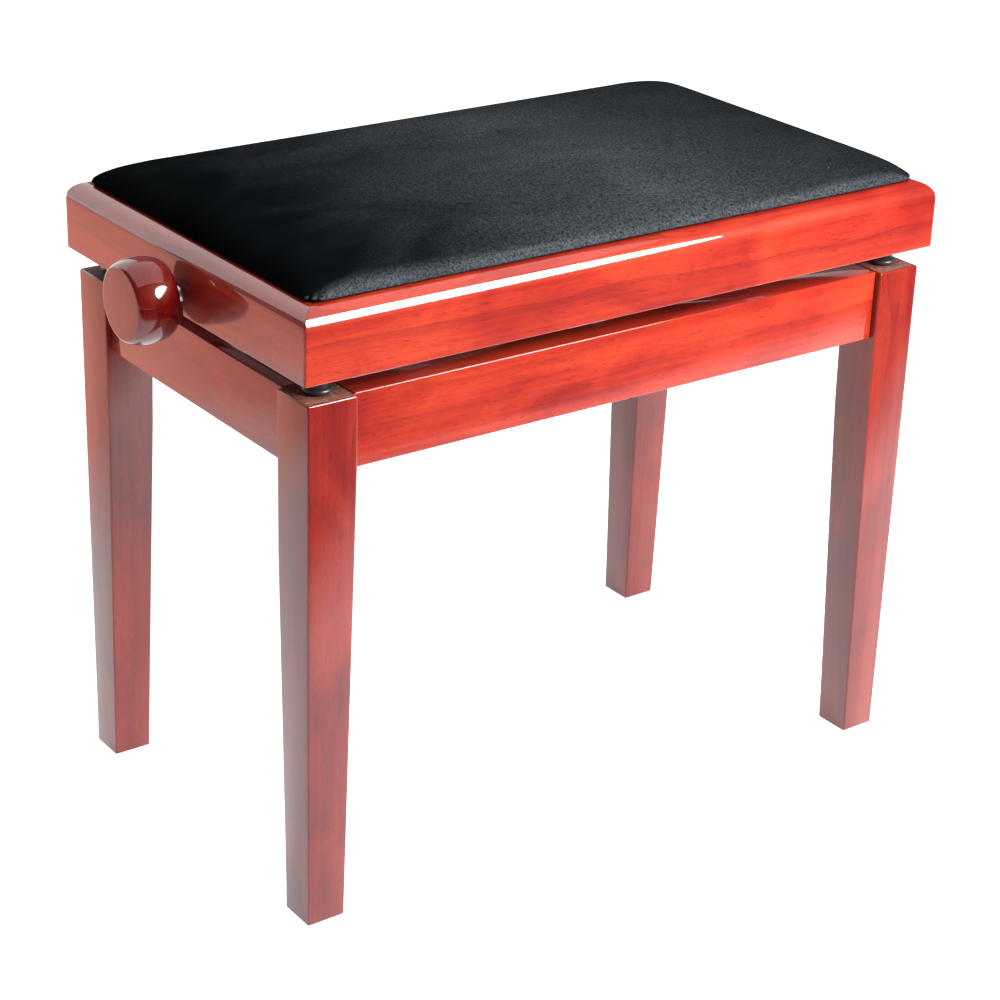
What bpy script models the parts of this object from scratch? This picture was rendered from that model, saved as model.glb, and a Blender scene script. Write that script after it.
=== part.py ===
"""Height-adjustable piano bench: a lacquered hardwood frame, a drop-in velvet pad, and a
steel scissor lift under the seat that a knob and a threaded spindle raise and lower.

Metres, +Z up. The bench stands on z = 0 at its lowest setting, its length runs along X,
and the knob is at the -X end.
"""

import math

import bmesh
import bpy
from mathutils import Matrix, Vector

# Seat frame
SEAT_LENGTH = 0.555
SEAT_WIDTH = 0.328
SEAT_RAIL_HEIGHT = 0.050
SEAT_RAIL_THICKNESS = 0.035
TOP_ROUNDING = 0.014
TOP_FLAT = 0.001
BOTTOM_EASING = 0.0015

# Pad and the board that carries it
BOARD_THICKNESS = 0.010
BOARD_CORNER_RADIUS = 0.012
PAD_OVERLAP = 0.0035
PAD_THICKNESS = 0.024
PAD_EDGE_RADIUS = 0.013
PAD_CORNER_RADIUS = 0.016
PAD_TUCK = 0.003
PAD_CROWN = 0.004
PAD_LEAST_CORNER = 0.004

# Legs and aprons
LEG_HEIGHT = 0.395
LEG_TOP = 0.0385
LEG_FOOT = 0.030
LENGTHWISE_TAPER_START = 0.342
CROSSWISE_TAPER_START = 0.278
LEG_INSET = 0.0062
APRON_HEIGHT = 0.053
APRON_THICKNESS = 0.024
LONG_APRON_RECESS = 0.005
SHORT_APRON_RECESS = 0.0042
WOOD_EASING = 0.0012

# Bumpers, corner blocks and their bolts
BUMPER_HEIGHT = 0.0157
BUMPER_FLANGE_RADIUS = 0.0102
BUMPER_STEM_RADIUS = 0.0075
BUMPER_FLANGE_HEIGHT = 0.0045
BUMPER_RIM = 0.001
BLOCK_HEIGHT = 0.040
BLOCK_THICKNESS = 0.018
BOLT_RADIUS = 0.004
BOLT_LENGTH = 0.046
BOLT_HEAD_RADIUS = 0.0085
BOLT_HEAD_HEIGHT = 0.0025
BOLT_SOCKET_RADIUS = 0.003
BOLT_SOCKET_DEPTH = 0.0022
BOLT_CHAMFER = 0.001

# Scissor lift
LIFT = 0.100
ARM_LENGTH = 0.300
ARM_WIDTH = 0.024
ARM_THICKNESS = 0.004
ARM_SPACING = 0.001
LOWER_PIVOT_ABOVE_APRON = 0.033
ROD_RADIUS = 0.006
CHANNEL_HEIGHT = 0.022
CHANNEL_DEPTH = 0.016
CHANNEL_WALL = 0.002
CHANNEL_END = 0.024
LUG_LENGTH = 0.024

# Screw and knob
SPINDLE_HEIGHT = 0.014
SPINDLE_RADIUS = 0.006
SPINDLE_SLOT = 0.008
SPINDLE_PAST_NUT = 0.022
SPINDLE_CHAMFER = 0.0012
TRAVERSE_SIDE = 0.024
TRAVERSE_EASING = 0.001
NUT_RADIUS = 0.009
NUT_FLANGE_RADIUS = 0.0115
NUT_FLANGE_THICKNESS = 0.004
COLLAR_RADIUS = 0.011
COLLAR_LENGTH = 0.010
BRACKET_THICKNESS = 0.004
BRACKET_LENGTH = 0.060
BRACKET_HEIGHT = 0.026
BRACKET_SCREW_SPACING = 0.044
SCREW_RADIUS = 0.002
SCREW_LENGTH = 0.018
SCREW_HEAD_RADIUS = 0.004
SCREW_HEAD_HEIGHT = 0.0038
SCREW_POINT = 0.004
KNOB_RADIUS = 0.0302
KNOB_FACE_RADIUS = 0.0245
KNOB_DEPTH = 0.032
KNOB_NECK_RADIUS = 0.009
KNOB_NECK_LENGTH = 0.008
KNOB_CLEARANCE = 0.003
KNOB_SOCKET_DEPTH = 0.020

# Chamfer on the ends of rods, rings and bolts turned from steel
ROD_CHAMFER = 0.0006

# Clearance between pieces that touch, and around rods and screws in their holes
GAP = 0.0003

# Levels and faces that several pieces share
seat_bottom = LEG_HEIGHT + BUMPER_HEIGHT + GAP
seat_top = seat_bottom + SEAT_RAIL_HEIGHT
rebate = TOP_ROUNDING + TOP_FLAT
rebate_depth = BOARD_THICKNESS + 2 * GAP
apron_bottom = LEG_HEIGHT - APRON_HEIGHT
leg_x = SEAT_LENGTH / 2 - LEG_INSET
leg_y = SEAT_WIDTH / 2 - LEG_INSET
apron_inner_x = leg_x - SHORT_APRON_RECESS - APRON_THICKNESS
apron_inner_y = leg_y - LONG_APRON_RECESS - APRON_THICKNESS
seat_inner_x = SEAT_LENGTH / 2 - SEAT_RAIL_THICKNESS
seat_inner_y = SEAT_WIDTH / 2 - SEAT_RAIL_THICKNESS

# Scissor geometry at its lowest setting, seen from the front: the outer arms run from the
# lower right pivot to the upper left, the inner arms from the lower left to the upper right
lower_z = apron_bottom + LOWER_PIVOT_ABOVE_APRON
upper_z = seat_bottom + SPINDLE_HEIGHT
rest_angle = math.asin((upper_z - lower_z) / ARM_LENGTH)
half_span = ARM_LENGTH * math.cos(rest_angle) / 2
raised_angle = math.asin((upper_z - lower_z + LIFT) / ARM_LENGTH)
slide_travel = ARM_LENGTH * (math.cos(rest_angle) - math.cos(raised_angle))
channel_mouth = min(apron_inner_y, seat_inner_y) - GAP - CHANNEL_DEPTH
rod_half_length = channel_mouth + CHANNEL_DEPTH - CHANNEL_WALL - 2 * GAP
outer_arm_y = channel_mouth - ARM_SPACING - ARM_THICKNESS / 2
inner_arm_y = outer_arm_y - ARM_THICKNESS - ARM_SPACING
lug_height = CHANNEL_HEIGHT - 2 * CHANNEL_WALL - 2 * GAP
knob_reach = KNOB_CLEARANCE + KNOB_NECK_LENGTH + KNOB_DEPTH


def clear_scene():
    for obj in list(bpy.data.objects):
        bpy.data.objects.remove(obj, do_unlink=True)


def material(name, color, roughness, metallic=0.0):
    finish = bpy.data.materials.new(name)
    finish.use_nodes = True
    shader = finish.node_tree.nodes["Principled BSDF"]
    shader.inputs["Base Color"].default_value = (*color, 1.0)
    shader.inputs["Roughness"].default_value = roughness
    shader.inputs["Metallic"].default_value = metallic
    return finish


def empty(name, parent=None, at=(0.0, 0.0, 0.0)):
    joint = bpy.data.objects.new(name, None)
    bpy.context.collection.objects.link(joint)
    joint.parent = parent
    joint.location = Vector(at) - (place_of(parent) if parent else Vector())
    return joint


def place_of(joint):
    """Where a joint's empty is, measured from the middle of the bench on the floor."""
    place = Vector()
    while joint is not None and joint.name != "bench":
        place += joint.location
        joint = joint.parent
    return place


def add(name, mesh, finish, joint, at=(0.0, 0.0, 0.0), turn=(0.0, 0.0, 0.0)):
    """An object at a place measured from the middle of the bench, carried by a joint."""
    obj = bpy.data.objects.new(name, mesh)
    bpy.context.collection.objects.link(obj)
    if not mesh.materials:
        mesh.materials.append(finish)
    obj.parent = joint
    obj.location = Vector(at) - place_of(joint)
    obj.rotation_euler = turn
    return obj


def mesh_from(bm, name, smooth_angle=None):
    bmesh.ops.remove_doubles(bm, verts=bm.verts, dist=1e-6)
    bmesh.ops.recalc_face_normals(bm, faces=bm.faces)
    mesh = bpy.data.meshes.new(name)
    bm.to_mesh(mesh)
    bm.free()
    if smooth_angle:
        mesh.shade_smooth()
        mesh.set_sharp_from_angle(angle=math.radians(smooth_angle))
    return mesh


def arc(center, radius, start, end, steps):
    """Points on an arc in a plane, from one angle to another in degrees."""
    angles = [math.radians(start + (end - start) * i / steps) for i in range(steps + 1)]
    return [(center[0] + radius * math.cos(a), center[1] + radius * math.sin(a)) for a in angles]


def loft(name, rings, smooth_angle=None):
    """A closed solid through rings of equally many points, with a flat cap at each end."""
    bm = bmesh.new()
    loops = [[bm.verts.new(point) for point in ring] for ring in rings]
    for lower, upper in zip(loops, loops[1:]):
        for i in range(len(lower)):
            j = (i + 1) % len(lower)
            bm.faces.new((lower[i], lower[j], upper[j], upper[i]))
    bm.faces.new(loops[0][::-1])
    bm.faces.new(loops[-1])
    return mesh_from(bm, name, smooth_angle)


def block(name, low, high, easing=0.0):
    """A box between two corners, with its edges eased."""
    corners = [(low[0], low[1]), (high[0], low[1]), (high[0], high[1]), (low[0], high[1])]
    bm = bmesh.new()
    bm.from_mesh(loft(name, [[(x, y, z) for x, y in corners] for z in (low[2], high[2])]))
    if easing:
        bmesh.ops.bevel(bm, geom=bm.edges[:], offset=easing, segments=2, profile=0.5, affect="EDGES")
    return mesh_from(bm, name, 25 if easing else None)


def turned(name, profile, segments=24):
    """A solid of revolution about Z, from (radius, height) points that start and end on the
    axis, or that close on themselves where the solid has a bore."""
    bm = bmesh.new()
    verts = [bm.verts.new((radius, 0.0, height)) for radius, height in profile]
    edges = [bm.edges.new(pair) for pair in zip(verts, verts[1:])]
    if profile[0][0] > 0.0:
        edges.append(bm.edges.new((verts[-1], verts[0])))
    bmesh.ops.spin(
        bm, geom=verts + edges, cent=(0, 0, 0), axis=(0, 0, 1),
        angle=2 * math.pi, steps=segments, use_merge=True,
    )
    return mesh_from(bm, name, 35)


def rod_profile(radius, low, high, chamfer=ROD_CHAMFER):
    return [
        (0.0, low), (radius - chamfer, low), (radius, low + chamfer),
        (radius, high - chamfer), (radius - chamfer, high), (0.0, high),
    ]


def ring_profile(inner, outer, low, high, chamfer=ROD_CHAMFER):
    return [
        (inner, low), (outer - chamfer, low), (outer, low + chamfer),
        (outer, high - chamfer), (outer - chamfer, high), (inner, high),
    ]


def circle(center, radius, segments=24):
    return arc(center, radius, 0, 360 - 360 / segments, segments - 1)


def plate(name, outline, holes, thickness):
    """A flat plate in the XY plane, thickness along Z, with (x, y, radius) holes."""
    curve = bpy.data.curves.new(name, "CURVE")
    curve.dimensions = "2D"
    curve.fill_mode = "BOTH"
    curve.extrude = thickness / 2
    for points in [outline] + [circle((x, y), radius) for x, y, radius in holes]:
        spline = curve.splines.new("POLY")
        spline.points.add(len(points) - 1)
        for point, (x, y) in zip(spline.points, points):
            point.co = (x, y, 0.0, 1.0)
        spline.use_cyclic_u = True
    pattern = bpy.data.objects.new(name, curve)
    bm = bmesh.new()
    bm.from_mesh(pattern.to_mesh())
    bpy.data.objects.remove(pattern)
    bpy.data.curves.remove(curve)
    return mesh_from(bm, name, 35)


def cut(obj, cutter_mesh, at, turn=(0.0, 0.0, 0.0)):
    """Takes a cutter's shape out of an object; the place is measured from the bench."""
    cutter = add(f"{obj.name}_cutter", cutter_mesh, None, obj.parent, at, turn)
    cutter.hide_render = True
    cutter.display_type = "WIRE"
    modifier = obj.modifiers.new("cut", "BOOLEAN")
    modifier.operation = "DIFFERENCE"
    modifier.solver = "EXACT"
    modifier.object = cutter


# ---------------------------------------------------------------- wooden base


def leg_mesh(name, side_x, side_y):
    """A square leg whose two outer faces are upright and whose two inner faces taper."""

    def width(z, start):
        share = min(1.0, z / start)
        return LEG_FOOT + (LEG_TOP - LEG_FOOT) * share

    rings = []
    for z in (0.0, CROSSWISE_TAPER_START, LENGTHWISE_TAPER_START, LEG_HEIGHT):
        inner_x = leg_x - width(z, LENGTHWISE_TAPER_START)
        inner_y = leg_y - width(z, CROSSWISE_TAPER_START)
        corners = ((leg_x, leg_y), (inner_x, leg_y), (inner_x, inner_y), (leg_x, inner_y))
        rings.append([(side_x * x, side_y * y, z) for x, y in corners])
    return loft(name, rings)


def make_corner(bench, word_y, word_x, side_x, side_y, finishes):
    """A leg with its bumper, and the block and bolt that hold it to the aprons."""
    corner = f"{word_y}_{word_x}"
    leg = add(f"leg_{corner}", leg_mesh(f"leg_{corner}", side_x, side_y), finishes["lacquer"], bench)
    easing = leg.modifiers.new("easing", "BEVEL")
    easing.width = WOOD_EASING
    easing.segments = 2
    easing.limit_method = "ANGLE"
    easing.angle_limit = math.radians(30)

    # The bolt lies level on the diagonal through the leg's inner arris
    arris = Vector((side_x * (leg_x - LEG_TOP), side_y * (leg_y - LEG_TOP), 0.0))
    outwards = Vector((side_x, side_y, 0.0)).normalized()
    bolt_z = apron_bottom + APRON_HEIGHT / 2
    block_face = arris - outwards * 2 * GAP
    head = block_face - outwards * (BLOCK_THICKNESS + GAP)
    head.z = bolt_z
    heading = Matrix.Rotation(math.atan2(side_y, side_x), 3, "Z")
    turn = (heading @ Matrix.Rotation(math.pi / 2, 3, "Y")).to_euler()
    hole = turned(f"bolt_hole_{corner}", rod_profile(BOLT_RADIUS + GAP, 0.0, BOLT_LENGTH + GAP), 16)
    cut(leg, hole, head, turn)

    # Each end of the block meets an apron's inner face, and its long face passes the leg
    reach = (apron_inner_x - abs(block_face.x)) + (apron_inner_y - abs(block_face.y))
    inner_reach = reach + BLOCK_THICKNESS * math.sqrt(2)
    end_x, end_y = apron_inner_x - GAP, apron_inner_y - GAP
    plan = [
        (apron_inner_x - reach, end_y), (apron_inner_x - inner_reach, end_y),
        (end_x, apron_inner_y - inner_reach), (end_x, apron_inner_y - reach),
    ]
    levels = (bolt_z - BLOCK_HEIGHT / 2, bolt_z + BLOCK_HEIGHT / 2)
    rings = [[(side_x * x, side_y * y, z) for x, y in plan] for z in levels]
    corner_block = add(
        f"corner_block_{corner}", loft(f"corner_block_{corner}", rings),
        finishes["raw_wood"], bench,
    )
    cut(corner_block, hole, head - outwards * BOLT_HEAD_HEIGHT / 2, turn)

    head_back = -BOLT_HEAD_HEIGHT
    socket_bottom = head_back + BOLT_SOCKET_DEPTH
    bolt = [
        (0.0, socket_bottom), (BOLT_SOCKET_RADIUS, socket_bottom), (BOLT_SOCKET_RADIUS, head_back),
        (BOLT_HEAD_RADIUS - BOLT_CHAMFER, head_back), (BOLT_HEAD_RADIUS, head_back + BOLT_CHAMFER),
        (BOLT_HEAD_RADIUS, 0.0), (BOLT_RADIUS, 0.0), (BOLT_RADIUS, BOLT_LENGTH - BOLT_CHAMFER),
        (BOLT_RADIUS - BOLT_CHAMFER, BOLT_LENGTH), (0.0, BOLT_LENGTH),
    ]
    bolt_mesh = turned(f"leg_bolt_{corner}", bolt, 16)
    add(f"leg_bolt_{corner}", bolt_mesh, finishes["zinc"], bench, head, turn)

    stem_top = BUMPER_HEIGHT - GAP
    bumper = (
        [(0.0, 0.0), (BUMPER_FLANGE_RADIUS - BUMPER_RIM, 0.0)]
        + arc((BUMPER_FLANGE_RADIUS - BUMPER_RIM, BUMPER_RIM), BUMPER_RIM, -60, 60, 4)
        + [(BUMPER_STEM_RADIUS, BUMPER_FLANGE_HEIGHT), (BUMPER_STEM_RADIUS, stem_top - BUMPER_RIM)]
        + [(BUMPER_STEM_RADIUS - BUMPER_RIM, stem_top), (0.0, stem_top)]
    )
    middle = (side_x * (leg_x - LEG_TOP / 2), side_y * (leg_y - LEG_TOP / 2), LEG_HEIGHT + GAP)
    add(f"bumper_{corner}", turned(f"bumper_{corner}", bumper, 20), finishes["rubber"], bench, middle)


def make_aprons(bench, lacquer):
    """Four boards between the legs, set back a little from the legs' faces."""
    long_end = leg_x - LEG_TOP - GAP
    short_end = leg_y - LEG_TOP - GAP
    for word, side in (("front", -1), ("rear", 1)):
        near, far = sorted((side * apron_inner_y, side * (apron_inner_y + APRON_THICKNESS)))
        low, high = (-long_end, near, apron_bottom), (long_end, far, LEG_HEIGHT)
        add(f"apron_{word}", block(f"apron_{word}", low, high, WOOD_EASING), lacquer, bench)
    for word, side in (("left", -1), ("right", 1)):
        near, far = sorted((side * apron_inner_x, side * (apron_inner_x + APRON_THICKNESS)))
        low, high = (near, -short_end, apron_bottom), (far, short_end, LEG_HEIGHT)
        add(f"apron_{word}", block(f"apron_{word}", low, high, WOOD_EASING), lacquer, bench)


# ---------------------------------------------------------------- seat


def seat_rail_mesh(name, half_length, half_width):
    """A mitred rail along X on the -Y side, its outer top edge rounded and its inner top edge
    rebated for the board. Each profile point is (distance in from the outer face, height)."""
    profile = (
        [(BOTTOM_EASING, 0.0)]
        + arc((BOTTOM_EASING, BOTTOM_EASING), BOTTOM_EASING, 225, 180, 1)
        + arc((TOP_ROUNDING, SEAT_RAIL_HEIGHT - TOP_ROUNDING), TOP_ROUNDING, 180, 90, 10)
        + [(rebate, SEAT_RAIL_HEIGHT), (rebate, SEAT_RAIL_HEIGHT - rebate_depth)]
        + [(SEAT_RAIL_THICKNESS, SEAT_RAIL_HEIGHT - rebate_depth), (SEAT_RAIL_THICKNESS, 0.0)]
    )
    half_face = half_length - GAP / math.sqrt(2)
    rings = [
        [(side * (half_face - inset), inset - half_width, seat_bottom + z) for inset, z in profile]
        for side in (-1, 1)
    ]
    return loft(name, rings, 25)


def make_seat_frame(seat, lacquer):
    """The four rails, and in the left one an open slot for the spindle and two screw holes."""
    long_half, short_half = SEAT_LENGTH / 2, SEAT_WIDTH / 2
    rails = {}
    for word, turn in (("front", 0.0), ("rear", math.pi)):
        mesh = seat_rail_mesh(word, long_half, short_half)
        rails[word] = add(f"seat_rail_{word}", mesh, lacquer, seat, turn=(0, 0, turn))
    for word, turn in (("left", -math.pi / 2), ("right", math.pi / 2)):
        mesh = seat_rail_mesh(word, short_half, long_half)
        rails[word] = add(f"seat_rail_{word}", mesh, lacquer, seat, turn=(0, 0, turn))

    slot = [(-SPINDLE_SLOT, -SPINDLE_HEIGHT - GAP), (SPINDLE_SLOT, -SPINDLE_HEIGHT - GAP)]
    slot += arc((0.0, 0.0), SPINDLE_SLOT, 0, 180, 12)
    slot_ends = (-long_half - GAP, -seat_inner_x + GAP)
    rings = [[(x, y, upper_z + z) for y, z in slot] for x in slot_ends]
    cut(rails["left"], loft("slot", rings), (0, 0, 0))
    pilot = turned("pilot", rod_profile(SCREW_RADIUS + GAP, -GAP, SCREW_LENGTH), 16)
    for side in (-1, 1):
        at = (-seat_inner_x, side * BRACKET_SCREW_SPACING / 2, upper_z)
        cut(rails["left"], pilot, at, (0.0, -math.pi / 2, 0.0))


def rounded_rectangle(half_x, half_y, radius, z):
    """The corner points of a level rectangle with rounded corners, anticlockwise from +X."""
    points = []
    for corner, (side_x, side_y) in enumerate(((1, 1), (-1, 1), (-1, -1), (1, -1))):
        center = (side_x * (half_x - radius), side_y * (half_y - radius))
        points += arc(center, radius, 90 * corner, 90 * corner + 90, 6)
    return [(x, y, z) for x, y in points]


def make_pad(seat, plywood, velvet):
    """The board in the frame's rebate, and the padded velvet cover that swells over it."""
    half_x = SEAT_LENGTH / 2 - rebate - GAP
    half_y = SEAT_WIDTH / 2 - rebate - GAP
    low = seat_top - rebate_depth + GAP
    rings = [
        rounded_rectangle(half_x, half_y, BOARD_CORNER_RADIUS, z)
        for z in (low, low + BOARD_THICKNESS)
    ]
    add("seat_board", loft("seat_board", rings, 30), plywood, seat)

    half_x += PAD_OVERLAP
    half_y += PAD_OVERLAP
    edge_top = PAD_THICKNESS - PAD_CROWN
    sides = [(PAD_TUCK, 0.0), (0.0, PAD_TUCK)]
    sides += [
        (PAD_EDGE_RADIUS + inset, edge_top - PAD_EDGE_RADIUS + z)
        for inset, z in arc((0.0, 0.0), PAD_EDGE_RADIUS, 180, 90, 6)
    ]
    sides += [(0.25 * half_y, edge_top + 0.6 * PAD_CROWN), (0.6 * half_y, PAD_THICKNESS)]
    rings = [
        rounded_rectangle(
            half_x - inset, half_y - inset,
            max(PAD_CORNER_RADIUS - inset, PAD_LEAST_CORNER), seat_top + GAP + z,
        )
        for inset, z in sides
    ]
    add("seat_cushion", loft("seat_cushion", rings, 30), velvet, seat)


# ---------------------------------------------------------------- scissor lift


def channel_mesh(name, wood_face, side):
    """A steel channel along X, open towards the middle, its back on a board's inner face."""
    back, mouth = wood_face - GAP, channel_mouth
    half, inner = CHANNEL_HEIGHT / 2, CHANNEL_HEIGHT / 2 - CHANNEL_WALL
    outline = [
        (back, -half), (mouth, -half), (mouth, -inner), (back - CHANNEL_WALL, -inner),
        (back - CHANNEL_WALL, inner), (mouth, inner), (mouth, half), (back, half),
    ]
    end = half_span + CHANNEL_END
    return loft(name, [[(x, side * y, z) for y, z in outline] for x in (-end, end)])


def arm_mesh(name):
    """A flat bar with round ends and three holes, from the hole at its origin along -X."""
    radius = ARM_WIDTH / 2
    outline = arc((0.0, 0.0), radius, -90, 90, 12) + arc((-ARM_LENGTH, 0.0), radius, 90, 270, 12)
    holes = [(-ARM_LENGTH * share, 0.0, ROD_RADIUS + GAP) for share in (0.0, 0.5, 1.0)]
    return plate(name, outline, holes, ARM_THICKNESS)


def make_scissor(bench, joints, finishes):
    """The channels, lugs, arms, rods and slide bushes of the lift, on both sides."""
    along_y = (math.pi / 2, 0.0, 0.0)
    seat, inner, traverse = joints["seat"], joints["inner_arms"], joints["traverse"]
    outer = joints["outer_arms"]
    steel, zinc, nylon = finishes["black_steel"], finishes["zinc"], finishes["nylon"]
    lug_outline = [(-LUG_LENGTH / 2, -lug_height / 2), (LUG_LENGTH / 2, -lug_height / 2)]
    lug_outline += [(LUG_LENGTH / 2, lug_height / 2), (-LUG_LENGTH / 2, lug_height / 2)]
    lug_depth = rod_half_length - channel_mouth
    lug_mesh = plate("pivot_lug", lug_outline, [(0.0, 0.0, ROD_RADIUS + GAP)], lug_depth)
    bush = ring_profile(ROD_RADIUS + GAP, lug_height / 2, -lug_depth / 2, lug_depth / 2)
    bush_mesh = turned("slide_bush", bush)
    arm = arm_mesh("arm")
    lug_y = channel_mouth + lug_depth / 2

    for word, side in (("front", -1), ("rear", 1)):
        lower = channel_mesh(f"base_channel_{word}", apron_inner_y, side)
        add(f"base_channel_{word}", lower, steel, bench, (0, 0, lower_z))
        upper = channel_mesh(f"seat_channel_{word}", seat_inner_y, side)
        add(f"seat_channel_{word}", upper, steel, seat, (0, 0, upper_z))

        lug_place = (half_span, side * lug_y)
        add(f"lower_pivot_lug_{word}", lug_mesh, zinc, bench, (*lug_place, lower_z), along_y)
        add(f"upper_pivot_lug_{word}", lug_mesh, zinc, seat, (*lug_place, upper_z), along_y)

        at = (half_span, side * outer_arm_y, lower_z)
        add(f"outer_arm_{word}", arm, steel, outer, at, (math.pi / 2, rest_angle, 0.0))
        at = (half_span, side * inner_arm_y, upper_z)
        add(f"inner_arm_{word}", arm, steel, inner, at, (math.pi / 2, -rest_angle, 0.0))

        at = (-half_span, side * lug_y, lower_z)
        add(f"lower_slide_bush_{word}", bush_mesh, nylon, inner, at, along_y)
        at = (-half_span, side * lug_y, upper_z)
        add(f"upper_slide_bush_{word}", bush_mesh, nylon, traverse, at, along_y)

    rod = turned("rod", rod_profile(ROD_RADIUS, -rod_half_length, rod_half_length))
    add("lower_pivot_rod", rod, zinc, outer, (half_span, 0, lower_z), along_y)
    add("lower_slide_rod", rod, zinc, inner, (-half_span, 0, lower_z), along_y)
    add("upper_pivot_rod", rod, zinc, inner, (half_span, 0, upper_z), along_y)
    short_half = outer_arm_y + ARM_THICKNESS / 2
    short_rod = turned("centre_rod", rod_profile(ROD_RADIUS, -short_half, short_half))
    add("centre_rod", short_rod, zinc, outer, (0, 0, (lower_z + upper_z) / 2), along_y)


# ---------------------------------------------------------------- screw and knob


def make_traverse(joint, finishes):
    """The square bar that the outer arms push along, with the spindle's nut in its middle."""
    half = TRAVERSE_SIDE / 2
    bar_end = inner_arm_y - ARM_THICKNESS / 2 - ARM_SPACING
    at = (-half_span, 0.0, upper_z)
    low, high = (-half, -bar_end, -half), (half, bar_end, half)
    square = block("traverse_bar", low, high, TRAVERSE_EASING)
    bar = add("traverse_bar", square, finishes["black_steel"], joint, at)
    journals = turned("journals", rod_profile(ROD_RADIUS, -rod_half_length, rod_half_length))
    turn = (math.pi / 2, 0.0, 0.0)
    pin = add("traverse_journals", journals, finishes["black_steel"], joint, at, turn)
    pin.hide_render = True
    pin.display_type = "WIRE"
    joined = bar.modifiers.new("journals", "BOOLEAN")
    joined.operation = "UNION"
    joined.solver = "EXACT"
    joined.object = pin
    bore = turned("nut_bore", rod_profile(NUT_RADIUS + GAP, -TRAVERSE_SIDE, TRAVERSE_SIDE))
    cut(bar, bore, at, (0.0, math.pi / 2, 0.0))

    inner = SPINDLE_RADIUS + GAP
    nut = [
        (inner, -half), (NUT_RADIUS, -half), (NUT_RADIUS, half + GAP),
        (NUT_FLANGE_RADIUS, half + GAP), (NUT_FLANGE_RADIUS, half + GAP + NUT_FLANGE_THICKNESS),
        (inner, half + GAP + NUT_FLANGE_THICKNESS),
    ]
    turn = (0.0, math.pi / 2, 0.0)
    add("spindle_nut", turned("spindle_nut", nut), finishes["bronze"], joint, at, turn)


def make_screw(seat, joint, finishes):
    """The spindle with its knob and thrust collar, and the bracket that carries it, which two
    screws hold to the left rail."""
    along_x = (0.0, math.pi / 2, 0.0)
    knob_face = -SEAT_LENGTH / 2 - knob_reach
    spindle_start = knob_face + KNOB_DEPTH + KNOB_NECK_LENGTH - KNOB_SOCKET_DEPTH + GAP
    nut_end = -half_span + slide_travel + TRAVERSE_SIDE / 2 + NUT_FLANGE_THICKNESS
    spindle_end = nut_end + SPINDLE_PAST_NUT
    spindle = rod_profile(SPINDLE_RADIUS, spindle_start, spindle_end, SPINDLE_CHAMFER)
    add("spindle", turned("spindle", spindle), finishes["zinc"], joint, (0, 0, upper_z), along_x)

    plate_start = -seat_inner_x + GAP
    collar_start = plate_start + BRACKET_THICKNESS + GAP
    inner = SPINDLE_RADIUS + GAP
    collar = ring_profile(inner, COLLAR_RADIUS, collar_start, collar_start + COLLAR_LENGTH)
    collar_mesh = turned("thrust_collar", collar)
    add("thrust_collar", collar_mesh, finishes["zinc"], joint, (0, 0, upper_z), along_x)

    bulge = KNOB_RADIUS - KNOB_FACE_RADIUS
    half_round = arc((0.0, 0.0), 1.0, 90, -90, 12)
    body = [
        (KNOB_FACE_RADIUS + bulge * across, KNOB_DEPTH * (1 - along) / 2)
        for across, along in half_round
    ]
    end = KNOB_DEPTH + KNOB_NECK_LENGTH
    knob = [(0.0, 0.0)] + body
    knob += [(KNOB_NECK_RADIUS, KNOB_DEPTH), (KNOB_NECK_RADIUS, end), (inner, end)]
    knob += [(inner, end - KNOB_SOCKET_DEPTH), (0.0, end - KNOB_SOCKET_DEPTH)]
    knob_mesh = turned("height_knob", knob, 36)
    add("height_knob", knob_mesh, finishes["lacquer"], joint, (knob_face, 0, upper_z), along_x)

    half_y, half_z = BRACKET_LENGTH / 2, BRACKET_HEIGHT / 2
    outline = [(-half_z, -half_y), (half_z, -half_y), (half_z, half_y), (-half_z, half_y)]
    spacing = BRACKET_SCREW_SPACING / 2
    holes = [(0.0, 0.0, inner)] + [(0.0, y, SCREW_RADIUS + GAP) for y in (-spacing, spacing)]
    bracket = plate("spindle_bracket", outline, holes, BRACKET_THICKNESS)
    plate_x = plate_start + BRACKET_THICKNESS / 2
    add("spindle_bracket", bracket, finishes["black_steel"], seat, (plate_x, 0, upper_z), along_x)

    shank_end = SCREW_LENGTH - GAP
    screw = [(0.0, SCREW_HEAD_HEIGHT)] + arc((0.0, 0.0), SCREW_HEAD_RADIUS, 60, 0, 4)
    screw += [(SCREW_RADIUS, 0.0), (SCREW_RADIUS, SCREW_POINT - shank_end), (0.0, -shank_end)]
    screw_mesh = turned("bracket_screw", screw, 16)
    for word, side in (("front", -1), ("rear", 1)):
        at = (plate_start + BRACKET_THICKNESS + GAP, side * spacing, upper_z)
        add(f"bracket_screw_{word}", screw_mesh, finishes["zinc"], seat, at, along_x)


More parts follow.
